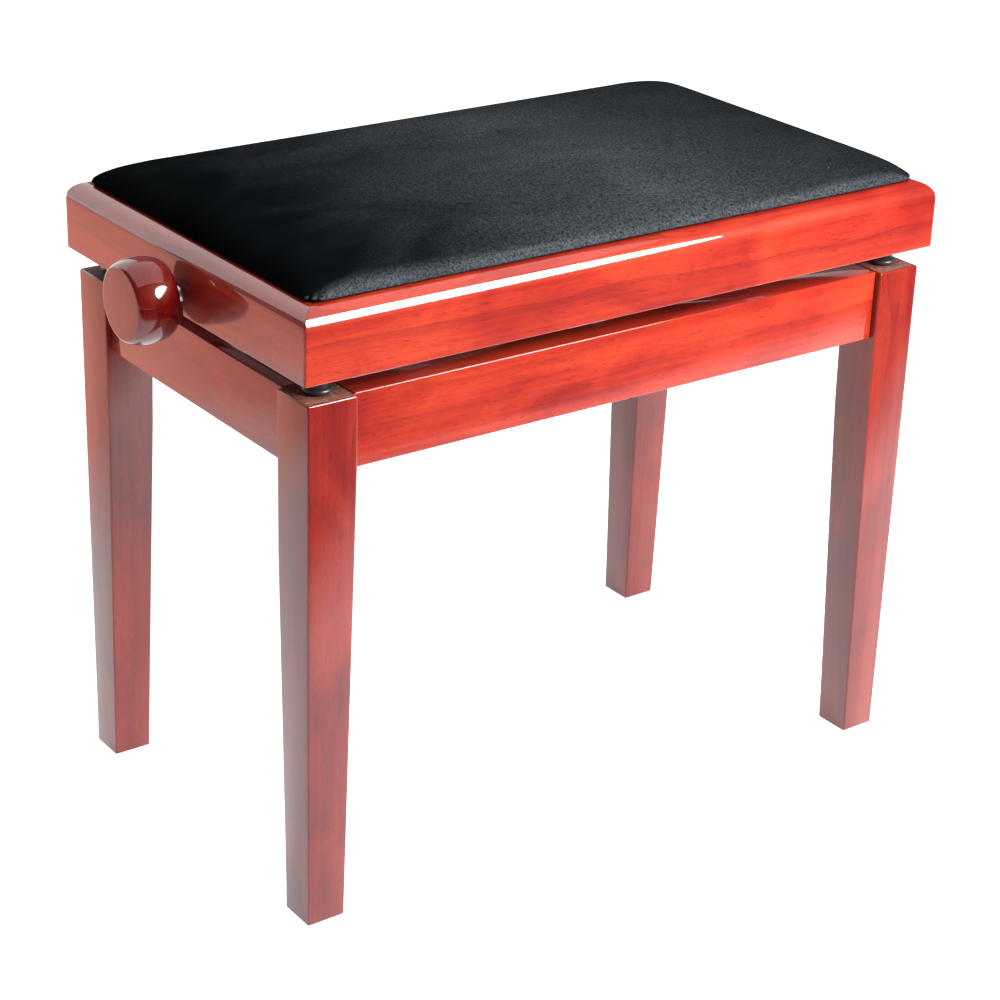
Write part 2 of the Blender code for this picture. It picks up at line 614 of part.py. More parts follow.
def main():
    clear_scene()
    finishes = {
        "lacquer": material("red_lacquered_wood", (0.42, 0.035, 0.018), 0.15),
        "raw_wood": material("raw_hardwood", (0.50, 0.33, 0.19), 0.7),
        "plywood": material("plywood", (0.55, 0.40, 0.25), 0.7),
        "velvet": material("black_velvet", (0.010, 0.012, 0.014), 0.9),
        "rubber": material("black_rubber", (0.012, 0.012, 0.012), 0.45),
        "black_steel": material("black_painted_steel", (0.03, 0.03, 0.03), 0.4, 0.0),
        "zinc": material("zinc_plated_steel", (0.62, 0.63, 0.64), 0.35, 1.0),
        "nylon": material("white_nylon", (0.80, 0.79, 0.75), 0.5),
        "bronze": material("bronze", (0.60, 0.42, 0.20), 0.35, 1.0),
    }

    # The knob sticks out at -X, so the bench stands half its reach to the other side
    bench = empty("bench")
    bench.location.x = knob_reach / 2
    outer = empty("outer_arms_joint", bench, (half_span, 0, lower_z))
    joints = {"outer_arms": outer}
    joints["inner_arms"] = empty("inner_arms_joint", outer, (0, 0, (lower_z + upper_z) / 2))
    joints["seat"] = empty("seat_joint", joints["inner_arms"], (half_span, 0, upper_z))
    joints["traverse"] = empty("traverse_joint", outer, (-half_span, 0, upper_z))
    joints["spindle"] = empty("spindle_joint", joints["seat"], (-seat_inner_x, 0, upper_z))

    for word_y, side_y in (("front", -1), ("rear", 1)):
        for word_x, side_x in (("left", -1), ("right", 1)):
            make_corner(bench, word_y, word_x, side_x, side_y, finishes)
    make_aprons(bench, finishes["lacquer"])
    make_seat_frame(joints["seat"], finishes["lacquer"])
    make_pad(joints["seat"], finishes["plywood"], finishes["velvet"])
    make_scissor(bench, joints, finishes)
    make_traverse(joints["traverse"], finishes)
    make_screw(joints["seat"], joints["spindle"], finishes)


main()
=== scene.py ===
"""How a height-adjustable piano bench looks: red lacquered hardwood, a black velvet pad and a
steel scissor lift under the seat. Metres, +Z up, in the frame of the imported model."""

import math

import bmesh
import bpy
import numpy as np
from mathutils import Matrix, Vector


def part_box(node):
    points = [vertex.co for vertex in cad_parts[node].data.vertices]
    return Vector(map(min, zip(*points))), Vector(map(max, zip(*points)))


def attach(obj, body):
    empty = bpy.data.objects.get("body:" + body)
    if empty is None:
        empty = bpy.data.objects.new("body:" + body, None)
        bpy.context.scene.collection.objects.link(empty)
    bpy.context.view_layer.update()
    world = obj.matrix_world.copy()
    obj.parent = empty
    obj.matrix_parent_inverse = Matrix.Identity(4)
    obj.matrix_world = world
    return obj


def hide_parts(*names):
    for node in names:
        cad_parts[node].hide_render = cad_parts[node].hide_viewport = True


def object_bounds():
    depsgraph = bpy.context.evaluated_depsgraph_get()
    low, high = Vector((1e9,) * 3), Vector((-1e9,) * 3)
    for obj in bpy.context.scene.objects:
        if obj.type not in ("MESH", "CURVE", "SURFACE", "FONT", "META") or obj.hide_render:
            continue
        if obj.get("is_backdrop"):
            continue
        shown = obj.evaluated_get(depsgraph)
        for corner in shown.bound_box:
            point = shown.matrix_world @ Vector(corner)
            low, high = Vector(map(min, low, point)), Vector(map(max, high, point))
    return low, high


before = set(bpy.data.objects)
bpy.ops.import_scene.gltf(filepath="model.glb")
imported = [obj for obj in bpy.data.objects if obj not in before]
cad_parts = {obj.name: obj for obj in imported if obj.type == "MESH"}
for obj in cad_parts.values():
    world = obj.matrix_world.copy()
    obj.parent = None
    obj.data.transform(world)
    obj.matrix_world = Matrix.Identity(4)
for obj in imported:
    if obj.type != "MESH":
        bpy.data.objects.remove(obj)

cad_low, cad_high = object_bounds()
apron_low, apron_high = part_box("apron_front")
bench_x = (apron_low.x + apron_high.x) / 2


# ---------------------------------------------------------------- studio
# A white paper floor, one round softbox in front and to the right, and a big overhead one.
# Only reflections see the glare behind and the two cards, which are painted reflections: a
# black one in front and a glowing warm one at the rear left. The camera looks down on the
# bench from its front left, past the knob.

CAMERA_YAW, CAMERA_PITCH, CAMERA_ROLL = 36.68, 24.27, 1.93
CAMERA_DISTANCE = 1.9
CAMERA_LENS = 90.0
AIM = Vector((-0.0203, -0.0297, 0.2207))

scene = bpy.context.scene
scene.view_settings.view_transform = "Standard"

camera = bpy.data.objects.new("camera", bpy.data.cameras.new("camera"))
scene.collection.objects.link(camera)
scene.camera = camera
camera.data.lens = CAMERA_LENS
camera.data.sensor_width = 36.0
turn = Matrix.Rotation(-math.radians(CAMERA_YAW), 4, "Z")
turn = turn @ Matrix.Rotation(math.radians(90.0 - CAMERA_PITCH), 4, "X")
turn = turn @ Matrix.Rotation(math.radians(CAMERA_ROLL), 4, "Z")
aim = Vector((bench_x, 0.0, 0.0)) + AIM
camera.matrix_world = Matrix.Translation(aim) @ turn @ Matrix.Translation((0, 0, CAMERA_DISTANCE))


def softbox(name, shape, size, place, target, radiance, reflected_only=False):
    """An area light that faces a target. Its power is its radiance times pi times its area."""
    light = bpy.data.lights.new(name, "AREA")
    light.shape = shape
    light.size = size
    area = math.pi * size * size / 4 if shape == "DISK" else size * size
    light.energy = radiance * math.pi * area
    lamp = bpy.data.objects.new(name, light)
    scene.collection.objects.link(lamp)
    lamp.location = place
    lamp.rotation_euler = (Vector(place) - Vector(target)).to_track_quat("Z", "Y").to_euler()
    lamp.visible_diffuse = not reflected_only
    return lamp


front_place = (bench_x + 0.50, -1.13, 1.09)
softbox("front_softbox", "DISK", 0.84, front_place, (bench_x, -0.1, 0.4), 45.0)
softbox("overhead_softbox", "SQUARE", 4.0, (bench_x, 0.4, 3.0), (bench_x, 0.4, 0.0), 1.5)
softbox("rear_glare", "SQUARE", 2.8, (bench_x - 0.6, 2.6, 1.5), (bench_x, 0.0, 0.4), 1.9, True)

world = bpy.data.worlds.new("studio")
scene.world = world
world.use_nodes = True
world.node_tree.nodes["Background"].inputs["Color"].default_value = (0.94, 0.97, 1.0, 1.0)
world.node_tree.nodes["Background"].inputs["Strength"].default_value = 0.15

FLOOR_HALF = 8.0
floor_mesh = bpy.data.meshes.new("floor")
floor_z = cad_low.z - 0.0005
corners = [(-1, -1), (1, -1), (1, 1), (-1, 1)]
floor_mesh.from_pydata([(x * FLOOR_HALF, y * FLOOR_HALF, floor_z) for x, y in corners], [], [(0, 1, 2, 3)])
floor = bpy.data.objects.new("floor", floor_mesh)
scene.collection.objects.link(floor)
paper = bpy.data.materials.new("white_paper")
paper.use_nodes = True
paper_shader = paper.node_tree.nodes["Principled BSDF"]
paper_shader.inputs["Base Color"].default_value = (0.45, 0.45, 0.46, 1.0)
paper_shader.inputs["Roughness"].default_value = 0.9
paper_shader.inputs["Emission Color"].default_value = (0.97, 0.98, 1.0, 1.0)
paper_shader.inputs["Emission Strength"].default_value = 1.0
floor_mesh.materials.append(paper)
floor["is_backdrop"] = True


def painted_reflection_card(name, x_range, y_start, y_end, fade, strength, glow):
    """A painted reflection: a level card that only reflections see, from y_start to y_end, which
    fades in over its first stretch, up to its strength, and glows."""
    mesh = bpy.data.meshes.new(name)
    outline = [(x_range[0], y_start), (x_range[1], y_start), (x_range[1], y_end), (x_range[0], y_end)]
    mesh.from_pydata([(x, y, floor_z + 0.002) for x, y in outline], [], [(0, 1, 2, 3)])
    card = bpy.data.objects.new(name, mesh)
    scene.collection.objects.link(card)
    card.visible_camera = False
    card.visible_diffuse = False
    card.visible_shadow = False
    shade = bpy.data.materials.new(name)
    shade.use_nodes = True
    tree = shade.node_tree
    shader = tree.nodes["Principled BSDF"]
    shader.inputs["Base Color"].default_value = (0.05, 0.03, 0.03, 1.0)
    shader.inputs["Roughness"].default_value = 1.0
    shader.inputs["Emission Color"].default_value = (*glow, 1.0)
    shader.inputs["Emission Strength"].default_value = 1.0
    axes = tree.nodes.new("ShaderNodeSeparateXYZ")
    ramp = tree.nodes.new("ShaderNodeMapRange")
    ramp.inputs["From Min"].default_value = y_start
    ramp.inputs["From Max"].default_value = y_start + math.copysign(fade, y_end - y_start)
    ramp.inputs["To Max"].default_value = strength
    tree.links.new(tree.nodes.new("ShaderNodeTexCoord").outputs["Object"], axes.inputs["Vector"])
    tree.links.new(axes.outputs["Y"], ramp.inputs["Value"])
    tree.links.new(ramp.outputs["Result"], shader.inputs["Alpha"])
    mesh.materials.append(shade)
    card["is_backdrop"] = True


# Painted reflections: a black card darkens what glossy surfaces reflect in front, and a glowing warm card
# paints warm reflections at the rear left.
painted_reflection_card("painted_dark_reflection_front", (-4.0, 6.0), -0.50, -5.6, 0.24, 1.0, (0.0, 0.0, 0.0))
painted_reflection_card("painted_warm_reflection_rear_left", (-3.0, -0.35), 0.42, 3.0, 0.30, 0.85, (1.9, 0.62, 0.42))


# ---------------------------------------------------------------- legs
# Four square hardwood legs. The two outer faces are upright and the two inner faces taper
# to the foot. Sprayed with red lacquer and polished; the sawn tops only caught the overspray.

LEG_FOOT = 0.030
LEG_TOP = 0.0385
LENGTHWISE_TAPER_START = 0.342
CROSSWISE_TAPER_START = 0.278
WOOD_EASING = 0.0014
# The legs' lacquer colour is multiplied by this, making it darker than the rails'.
LEG_COLOUR_FACTOR = (0.62, 0.52, 0.75)


def connect(tree, made, values):
    """Sets a node's inputs: a number or a colour is stored, another node's output is linked."""
    for key, value in values.items():
        if isinstance(value, bpy.types.NodeSocket):
            tree.links.new(value, made.inputs[key])
        else:
            made.inputs[key].default_value = value
    return made


def node(tree, kind, values=None, **properties):
    """Adds a shader node, with its properties and inputs set."""
    made = tree.nodes.new("ShaderNode" + kind)
    for key, value in properties.items():
        setattr(made, key, value)
    return connect(tree, made, values or {})


def stretched(tree, place, scale):
    """The place scaled by its own factor on each axis."""
    return node(tree, "Mapping", {"Vector": place, "Scale": scale}).outputs["Vector"]


def noise(tree, place, scale=1.0, detail=3.0, roughness=0.5, distortion=0.0):
    """Perlin noise from 0 to 1 at a place."""
    values = {"Vector": place, "Scale": scale, "Detail": detail, "Roughness": roughness}
    values["Distortion"] = distortion
    return node(tree, "TexNoise", values).outputs["Fac"]


def graded(tree, value, *stops):
    """A colour that runs through (position, colour) stops as the value goes from 0 to 1."""
    made = node(tree, "ValToRGB", {"Fac": value})
    elements = made.color_ramp.elements
    elements.remove(elements[1])
    elements[0].position = stops[0][0]
    elements[0].color = (*stops[0][1], 1.0)
    for position, colour in stops[1:]:
        elements.new(position).color = (*colour, 1.0)
    return made.outputs["Color"]


def mask(tree, value, low, high):
    """0 where the value is under low, 1 where it is over high, and in between in between."""
    return graded(tree, value, (low, (0, 0, 0)), (high, (1, 1, 1)))


def ranged(tree, value, low, high):
    """A value from 0 to 1 carried over to the range from low to high."""
    values = {"Value": value, "To Min": low, "To Max": high}
    return node(tree, "MapRange", values).outputs["Result"]


def maths(tree, operation, first, second):
    """Two values put together by one operation."""
    return node(tree, "Math", {0: first, 1: second}, operation=operation).outputs["Value"]


def mixed(tree, share, first, second, how="MIX"):
    """Two colours mixed by a share, or multiplied, added and so on by that share."""
    values = {0: share, 6: first, 7: second}
    return node(tree, "Mix", values, data_type="RGBA", blend_type=how).outputs[2]


def bumped(tree, height, distance, strength=1.0, normal=None):
    """A normal that follows a height field, whose full range is distance deep."""
    values = {"Height": height, "Distance": distance, "Strength": strength}
    if normal:
        values["Normal"] = normal
    return node(tree, "Bump", values).outputs["Normal"]


def new_finish(name):
    """A new material, its tree and its Principled shader."""
    made = bpy.data.materials.new(name)
    made.use_nodes = True
    return made, made.node_tree, made.node_tree.nodes["Principled BSDF"]


GRAIN_TURN = {"X": (0.0, 0.0, 0.0), "Y": (0.0, 0.0, -math.pi / 2), "Z": (0.0, math.pi / 2, 0.0)}


def object_place(tree):
    """Object coordinates."""
    return node(tree, "TexCoord").outputs["Object"]


def grain_place(tree, grain, start):
    """Object coordinates turned so that the grain runs along the first axis."""
    values = {"Vector": object_place(tree), "Location": start, "Rotation": GRAIN_TURN[grain]}
    return node(tree, "Mapping", values).outputs["Vector"]


def red_lacquer(name, grain, start, deep=0.22, colour_factor=(1.0, 1.0, 1.0)):
    """Pale wood under a clear red lacquer: broad streaks and blotches of stained colour, fine fibres,
    and short dark pores along the grain, under a thick polished coat that is nearly level. The
    whole colour is then multiplied by the piece's colour factor."""
    made, tree, shader = new_finish(name)
    place = grain_place(tree, grain, start)
    streaks = noise(tree, stretched(tree, place, (2.2, 30, 30)), 1, 4, 0.6, 1.0)
    fibres = noise(tree, stretched(tree, place, (9, 300, 300)), 1, 4, 0.6, 0.2)
    blotches = noise(tree, stretched(tree, place, (10, 20, 20)), 1, 3, 0.55, 0.8)
    tone = maths(tree, "ADD", maths(tree, "MULTIPLY", streaks, 0.36), maths(tree, "MULTIPLY", fibres, 0.2))
    tone = maths(tree, "ADD", tone, maths(tree, "MULTIPLY", blotches, 0.44))
    colour = graded(
        tree, tone,
        (0.34, (0.115, 0.0040, 0.0034)), (0.44, (0.180, 0.0080, 0.0046)),
        (0.52, (0.235, 0.0150, 0.0064)), (0.64, (0.290, 0.0270, 0.0090)),
    )
    figure = node(
        tree, "TexWave",
        {"Vector": stretched(tree, place, (1.6, 9, 9)), "Scale": 1.3, "Distortion": 9.0, "Detail": 3.0,
         "Detail Scale": 1.2},
        wave_type="BANDS", bands_direction="Z", wave_profile="SAW",
    ).outputs["Fac"]
    lines = mask(tree, figure, 0.70, 1.0)
    colour = mixed(tree, maths(tree, "MULTIPLY", lines, deep), colour, (0.100, 0.0040, 0.0032, 1.0))
    pores = noise(tree, stretched(tree, place, (150, 2400, 2400)), 1, 1, 0.4)
    crowding = noise(tree, stretched(tree, place, (8, 50, 50)), 1, 2, 0.5)
    crowded = maths(tree, "ADD", pores, maths(tree, "MULTIPLY", crowding, 0.12))
    pore_mask = mask(tree, crowded, 0.66, 0.75)
    colour = mixed(tree, maths(tree, "MULTIPLY", pore_mask, 0.55), colour, (0.045, 0.0025, 0.0020, 1.0))
    colour = mixed(tree, 1.0, colour, (*colour_factor, 1.0), "MULTIPLY")
    dull = ranged(tree, fibres, 0.30, 0.44)
    level = noise(tree, stretched(tree, place, (14, 30, 30)), 1, 2, 0.5)
    dents = maths(tree, "SUBTRACT", fibres, pore_mask)
    connect(tree, shader, {
        "Base Color": colour, "Roughness": dull, "Specular IOR Level": 0.16,
        "Specular Tint": (1.0, 0.45, 0.28, 1.0),
        "Coat Weight": 1.0, "Coat Roughness": 0.018, "Coat IOR": 1.5,
        "Normal": bumped(tree, dents, 0.00006, 0.5),
        "Coat Normal": bumped(tree, level, 0.00022, 0.35),
    })
    return made


def end_grain(name):
    """Sawn end grain with a thin overspray: dark speckled vessels in pinkish brown wood."""
    made, tree, shader = new_finish(name)
    place = object_place(tree)
    vessels = noise(tree, place, 900, 3, 0.6)
    rings = noise(tree, stretched(tree, place, (60, 260, 60)), 1, 3, 0.6)
    colour = graded(tree, rings, (0.35, (0.085, 0.026, 0.017)), (0.65, (0.19, 0.072, 0.050)))
    colour = mixed(tree, mask(tree, vessels, 0.52, 0.66), colour, (0.040, 0.012, 0.009, 1.0))
    dust = mask(tree, noise(tree, place, 500, 2), 0.60, 0.70)
    colour = mixed(tree, dust, colour, (0.30, 0.19, 0.16, 1.0))
    connect(tree, shader, {
        "Base Color": colour, "Roughness": 0.62, "Normal": bumped(tree, vessels, 0.0002, 0.6),
    })
    return made


def made_solid(name, mesh, finish, sharp):
    """An object of a mesh whose points that meet become one and whose faces turn outward."""
    bm = bmesh.new()
    bm.from_mesh(mesh)
    bmesh.ops.remove_doubles(bm, verts=bm.verts, dist=1e-6)
    bmesh.ops.recalc_face_normals(bm, faces=bm.faces)
    bm.to_mesh(mesh)
    bm.free()
    mesh.shade_smooth()
    mesh.set_sharp_from_angle(angle=math.radians(sharp))
    mesh.materials.append(finish)
    obj = bpy.data.objects.new(name, mesh)
    scene.collection.objects.link(obj)
    return obj


def skin(name, rings, finish, sharp=30.0, loop=False):
    """A closed skin over a stack of rings, rings[row, column], or over several such stacks.
    Quads join each ring to the next; the end rings are filled flat, or joined when it is a
    loop. Points that meet, as at a pole, become one."""
    stacks = rings.reshape(-1, *rings.shape[-3:])
    copies, rows, columns = stacks.shape[:3]
    across = np.arange(columns)
    following = (across + 1) % columns
    here = np.arange(rows if loop else rows - 1)[:, None] * columns
    there = (here + columns) % (rows * columns)
    quads = np.stack([here + across, here + following, there + following, there + across], axis=-1)
    quads = quads.reshape(-1, 4)
    faces = []
    for copy in range(copies):
        start = copy * rows * columns
        faces += (quads + start).tolist()
        if not loop:
            faces += [(across[::-1] + start).tolist(), (across + start + (rows - 1) * columns).tolist()]
    mesh = bpy.data.meshes.new(name)
    mesh.from_pydata(stacks.reshape(-1, 3).tolist(), [], faces)
    return made_solid(name, mesh, finish, sharp)


def rounded_rings(low, high, radius, steps=5):
    """Rounded rectangles between low and high corners, one for each row: round each corner's
    centre a quarter circle, centre + radius * (cos a, sin a)."""
    low, high = np.asarray(low, float), np.asarray(high, float)
    radius = np.broadcast_to(np.asarray(radius, float), low.shape[:1])
    sides = np.array([(1, 1), (-1, 1), (-1, -1), (1, -1)])
    angles = np.pi / 2 * (np.arange(4)[:, None] + np.linspace(0, 1, steps + 1)[None, :])
    outward = np.stack([np.cos(angles), np.sin(angles)], axis=-1)
    middle = (low + high) / 2
    half = (high - low) / 2 - radius[:, None]
    centres = middle[:, None, :] + sides[None] * half[:, None, :]
    rings = centres[:, :, None, :] + radius[:, None, None, None] * outward[None]
    return rings.reshape(len(low), -1, 2)


def eased_bar(name, axis, stations, low, high, easing, finish, steps=5):
    """A bar along an axis: its section is a rectangle with eased corners, which runs straight
    from station to station, and each end closes in over a quarter circle: at angle a the
    section stands in by easing * (1 - sin a), easing * (1 - cos a) from the end."""
    stations, low, high = (np.asarray(values, float) for values in (stations, low, high))
    angle = np.linspace(0, np.pi / 2, steps + 1)
    run = easing * (1 - np.cos(angle))
    inset = easing * (1 - np.sin(angle))
    places = np.concatenate([stations[0] + run, stations[1:-1], (stations[-1] - run)[::-1]])
    insets = np.concatenate([inset, np.zeros(len(stations) - 2), inset[::-1]])
    lows = np.stack([np.interp(places, stations, low[:, i]) for i in (0, 1)], axis=1)
    highs = np.stack([np.interp(places, stations, high[:, i]) for i in (0, 1)], axis=1)
    rings = rounded_rings(lows + insets[:, None], highs - insets[:, None], easing, steps)
    along = np.broadcast_to(places[:, None], rings.shape[:2])
    order = {"X": (2, 0, 1), "Y": (0, 2, 1), "Z": (0, 1, 2)}[axis]
    points = np.stack([rings[..., 0], rings[..., 1], along], axis=-1)[..., order]
    return skin(name, points, finish)


sawn_top = end_grain("sawn_end_grain")
for number, corner in enumerate(("front_left", "front_right", "rear_left", "rear_right")):
    low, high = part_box(f"leg_{corner}")
    out_x = 1 if "right" in corner else -1
    out_y = 1 if "rear" in corner else -1
    levels = np.array([low.z, CROSSWISE_TAPER_START, LENGTHWISE_TAPER_START, high.z])
    wide_x = LEG_FOOT + (LEG_TOP - LEG_FOOT) * np.minimum(levels / LENGTHWISE_TAPER_START, 1)
    wide_y = LEG_FOOT + (LEG_TOP - LEG_FOOT) * np.minimum(levels / CROSSWISE_TAPER_START, 1)
    outer = np.array([high.x if out_x > 0 else low.x, high.y if out_y > 0 else low.y])
    inner = outer - np.stack([out_x * wide_x, out_y * wide_y], axis=1)
    outers = np.broadcast_to(outer, inner.shape)
    start = (0.31 * number, 0.17 * number, 0.23 * number)
    lacquer = red_lacquer(f"leg_lacquer_{corner}", "Z", start, 0.35, LEG_COLOUR_FACTOR)
    leg = eased_bar(
        f"lacquered_leg_{corner}", "Z", levels,
        np.minimum(inner, outers), np.maximum(inner, outers), WOOD_EASING, lacquer,
    )
    leg.data.materials.append(sawn_top)
    for face in leg.data.polygons:
        if abs(face.normal.z) > 0.99:
            face.material_index = 1
    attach(leg, "base")
    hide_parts(f"leg_{corner}")


# ---------------------------------------------------------------- aprons
# Four boards between the legs, doweled and glued to them and set a little back from their
# faces, with their arrises eased before the lacquer went on.

APRON_EASING = 0.0008

for number, side in enumerate(("front", "rear", "left", "right")):
    low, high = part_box(f"apron_{side}")
    long = side in ("front", "rear")
    axis = "X" if long else "Y"
    stations = (low.x, high.x) if long else (low.y, high.y)
    section_low = (low.y, low.z) if long else (low.x, low.z)
    section_high = (high.y, high.z) if long else (high.x, high.z)
    lacquer = red_lacquer(f"apron_lacquer_{side}", axis, (0.4 + 0.37 * number, 0.05, 0.13 * number), 0.3)
    apron = eased_bar(
        f"lacquered_apron_{side}", axis, stations, [section_low] * 2, [section_high] * 2,
        APRON_EASING, lacquer,
    )
    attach(apron, "base")
    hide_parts(f"apron_{side}")


# ---------------------------------------------------------------- corner blocks and bolts
# Raw hardwood blocks sawn at 45 degrees, one in each corner, each drawn to its leg by a
# zinc-plated bolt with a hexagon socket.


def raw_wood(name, grain, pale, dark):
    """Unfinished wood: pale and darker streaks along the grain, with fine open pores."""
    made, tree, shader = new_finish(name)
    place = grain_place(tree, grain, (0.1, 0.2, 0.3))
    streaks = noise(tree, stretched(tree, place, (5, 70, 70)), 1, 5, 0.65, 0.5)
    pores = mask(tree, noise(tree, stretched(tree, place, (160, 1500, 1500)), 1, 1), 0.64, 0.74)
    colour = graded(tree, streaks, (0.32, dark), (0.68, pale))
    colour = mixed(tree, maths(tree, "MULTIPLY", pores, 0.5), colour, (*[c * 0.35 for c in dark], 1.0))
    rough = ranged(tree, streaks, 0.6, 0.8)
    height = maths(tree, "SUBTRACT", streaks, pores)
    connect(tree, shader, {
        "Base Color": colour, "Roughness": rough, "Normal": bumped(tree, height, 0.00025, 0.6),
    })
    return made


def zinc_plate(name, axis="X"):
    """Bright zinc-plated steel with drawing lines along an axis and faint cloudy stains."""
    made, tree, shader = new_finish(name)
    place = grain_place(tree, axis, (0.0, 0.0, 0.0))
    lines = noise(tree, stretched(tree, place, (25, 2600, 2600)), 1, 2, 0.5)
    clouds = noise(tree, place, 120, 4, 0.6)
    colour = graded(
        tree, clouds, (0.3, (0.47, 0.48, 0.49)), (0.55, (0.60, 0.62, 0.65)), (0.75, (0.68, 0.67, 0.60)),
    )
    rough = ranged(tree, clouds, 0.24, 0.46)
    connect(tree, shader, {
        "Base Color": colour, "Metallic": 1.0, "Roughness": rough,
        "Normal": bumped(tree, lines, 0.00003, 0.5),
    })
    return made


def turned(name, along, radius, axis, places, finish, sharp=30.0, around=64, loop=False):
    """A turned piece at each place: the point at angle a is place + along * axis +
    radius * (cos a, sin a) across the axis. The radius may have a value for each angle."""
    axis = np.array(Vector(axis).normalized())
    across = np.cross(axis, (0, 0, 1) if abs(axis[2]) < 0.9 else (1, 0, 0))
    across /= np.linalg.norm(across)
    other = np.cross(axis, across)
    radius = np.asarray(radius, float)
    if radius.ndim == 1:
        radius = np.repeat(radius[:, None], around, axis=1)
    angle = np.linspace(0, 2 * np.pi, radius.shape[1], endpoint=False)
    outward = np.cos(angle)[:, None] * across + np.sin(angle)[:, None] * other
    rings = np.asarray(along, float)[:, None, None] * axis + radius[:, :, None] * outward
    places = np.atleast_2d(np.asarray(places, float))
    return skin(name, places[:, None, None, :] + rings, finish, sharp, loop)


def hexagon(across_flats, around=48):
    """The radius of a hexagon at each angle: half its width across flats over the cosine of
    the angle from the nearest flat's middle."""
    angle = np.linspace(0, 2 * np.pi, around, endpoint=False)
    return across_flats / 2 / np.cos((angle + np.pi / 6) % (np.pi / 3) - np.pi / 6)


block_wood = raw_wood("corner_block_wood", "Z", (0.62, 0.43, 0.26), (0.44, 0.27, 0.14))
bolt_zinc = zinc_plate("bolt_zinc", "Z")
BOLT_RADIUS, BOLT_LENGTH = 0.004, 0.046
BOLT_HEAD_RADIUS, BOLT_HEAD_HEIGHT, BOLT_SOCKET = 0.0085, 0.0025, 0.005
for corner in ("front_left", "front_right", "rear_left", "rear_right"):
    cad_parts[f"corner_block_{corner}"].material_slots[0].material = block_wood
    low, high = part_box(f"leg_bolt_{corner}")
    outward = Vector((1 if "right" in corner else -1, 1 if "rear" in corner else -1, 0)).normalized()
    spread = BOLT_HEAD_RADIUS * abs(outward.y)
    near = Vector((
        low.x + spread if outward.x > 0 else high.x - spread,
        low.y + spread if outward.y > 0 else high.y - spread,
        (low.z + high.z) / 2,
    ))
    head = near + outward * BOLT_HEAD_HEIGHT
    ring = np.ones(48)
    socket = hexagon(BOLT_SOCKET)
    bottom = -BOLT_HEAD_HEIGHT
    stations = [
        (-0.0006, 0.0001 * ring), (-0.0006, socket), (bottom + 0.0004, socket),
        (bottom, socket + 0.0004), (bottom, (BOLT_HEAD_RADIUS - 0.0012) * ring),
        (bottom + 0.0004, (BOLT_HEAD_RADIUS - 0.0003) * ring),
        (bottom + 0.0012, BOLT_HEAD_RADIUS * ring), (0.0, BOLT_HEAD_RADIUS * ring),
        (0.0, BOLT_RADIUS * ring), (BOLT_LENGTH - 0.001, BOLT_RADIUS * ring),
        (BOLT_LENGTH, (BOLT_RADIUS - 0.001) * ring),
    ]
    along, radii = zip(*stations)
    bolt = turned(f"socket_bolt_{corner}", along, radii, outward, head, bolt_zinc)
    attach(bolt, "base")
    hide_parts(f"leg_bolt_{corner}")


# ---------------------------------------------------------------- bumpers
# A black rubber bumper pressed into the middle of each leg's top, which the seat frame rests
# on at its lowest setting: a flange with a round rim and a narrower stem.

BUMPER_FLANGE_RADIUS, BUMPER_FLANGE_HEIGHT = 0.0102, 0.0045
BUMPER_STEM_RADIUS = 0.0075

rubber, tree, shader = new_finish("black_rubber")
place = object_place(tree)
grain = noise(tree, place, 1800, 2, 0.5)
bloom = noise(tree, place, 90, 3, 0.6)
connect(tree, shader, {
    "Base Color": graded(tree, bloom, (0.3, (0.010, 0.010, 0.011)), (0.75, (0.028, 0.028, 0.030))),
    "Roughness": ranged(tree, bloom, 0.26, 0.46),
    "Specular IOR Level": 0.55,
    "Normal": bumped(tree, grain, 0.00005, 0.4),
})

for corner in ("front_left", "front_right", "rear_left", "rear_right"):
    low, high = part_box(f"bumper_{corner}")
    height = high.z - low.z
    rim = BUMPER_FLANGE_HEIGHT / 2
    angle = np.linspace(-np.pi / 2, np.pi / 2, 15)
    flange_radius = BUMPER_FLANGE_RADIUS - rim + rim * np.cos(angle)
    flange_height = rim + rim * np.sin(angle)
    top = np.linspace(0, np.pi / 2, 6)
    stem_rim = 0.0012
    radius = np.concatenate([
        [0], flange_radius, [BUMPER_STEM_RADIUS + 0.0004, BUMPER_STEM_RADIUS],
        BUMPER_STEM_RADIUS - stem_rim + stem_rim * np.cos(top), [0],
    ])
    level = np.concatenate([
        [0], flange_height, [BUMPER_FLANGE_HEIGHT, BUMPER_FLANGE_HEIGHT + 0.0004],
        height - stem_rim + stem_rim * np.sin(top), [height],
    ])
    foot = ((low.x + high.x) / 2, (low.y + high.y) / 2, low.z)
    bumper = turned(f"rubber_bumper_{corner}", level, radius, (0, 0, 1), foot, rubber, 40.0)
    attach(bumper, "base")
    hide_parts(f"bumper_{corner}")


# ---------------------------------------------------------------- channels and pivot lugs
# Two pairs of channels folded from 2 mm steel and powder-coated black. The lower pair is
# screwed inside the long aprons and the upper pair inside the long seat rails. A zinc-plated
# lug is riveted into the right end of each and takes a pivot rod.

CHANNEL_WALL, CHANNEL_BEND = 0.002, 0.0032
CHANNEL_SCREWS = (-0.166, -0.06, 0.06, 0.166)
SCREW_HEAD_RADIUS, SCREW_HEAD_HEIGHT = 0.0040, 0.0014
ROD_HOLE = 0.0063


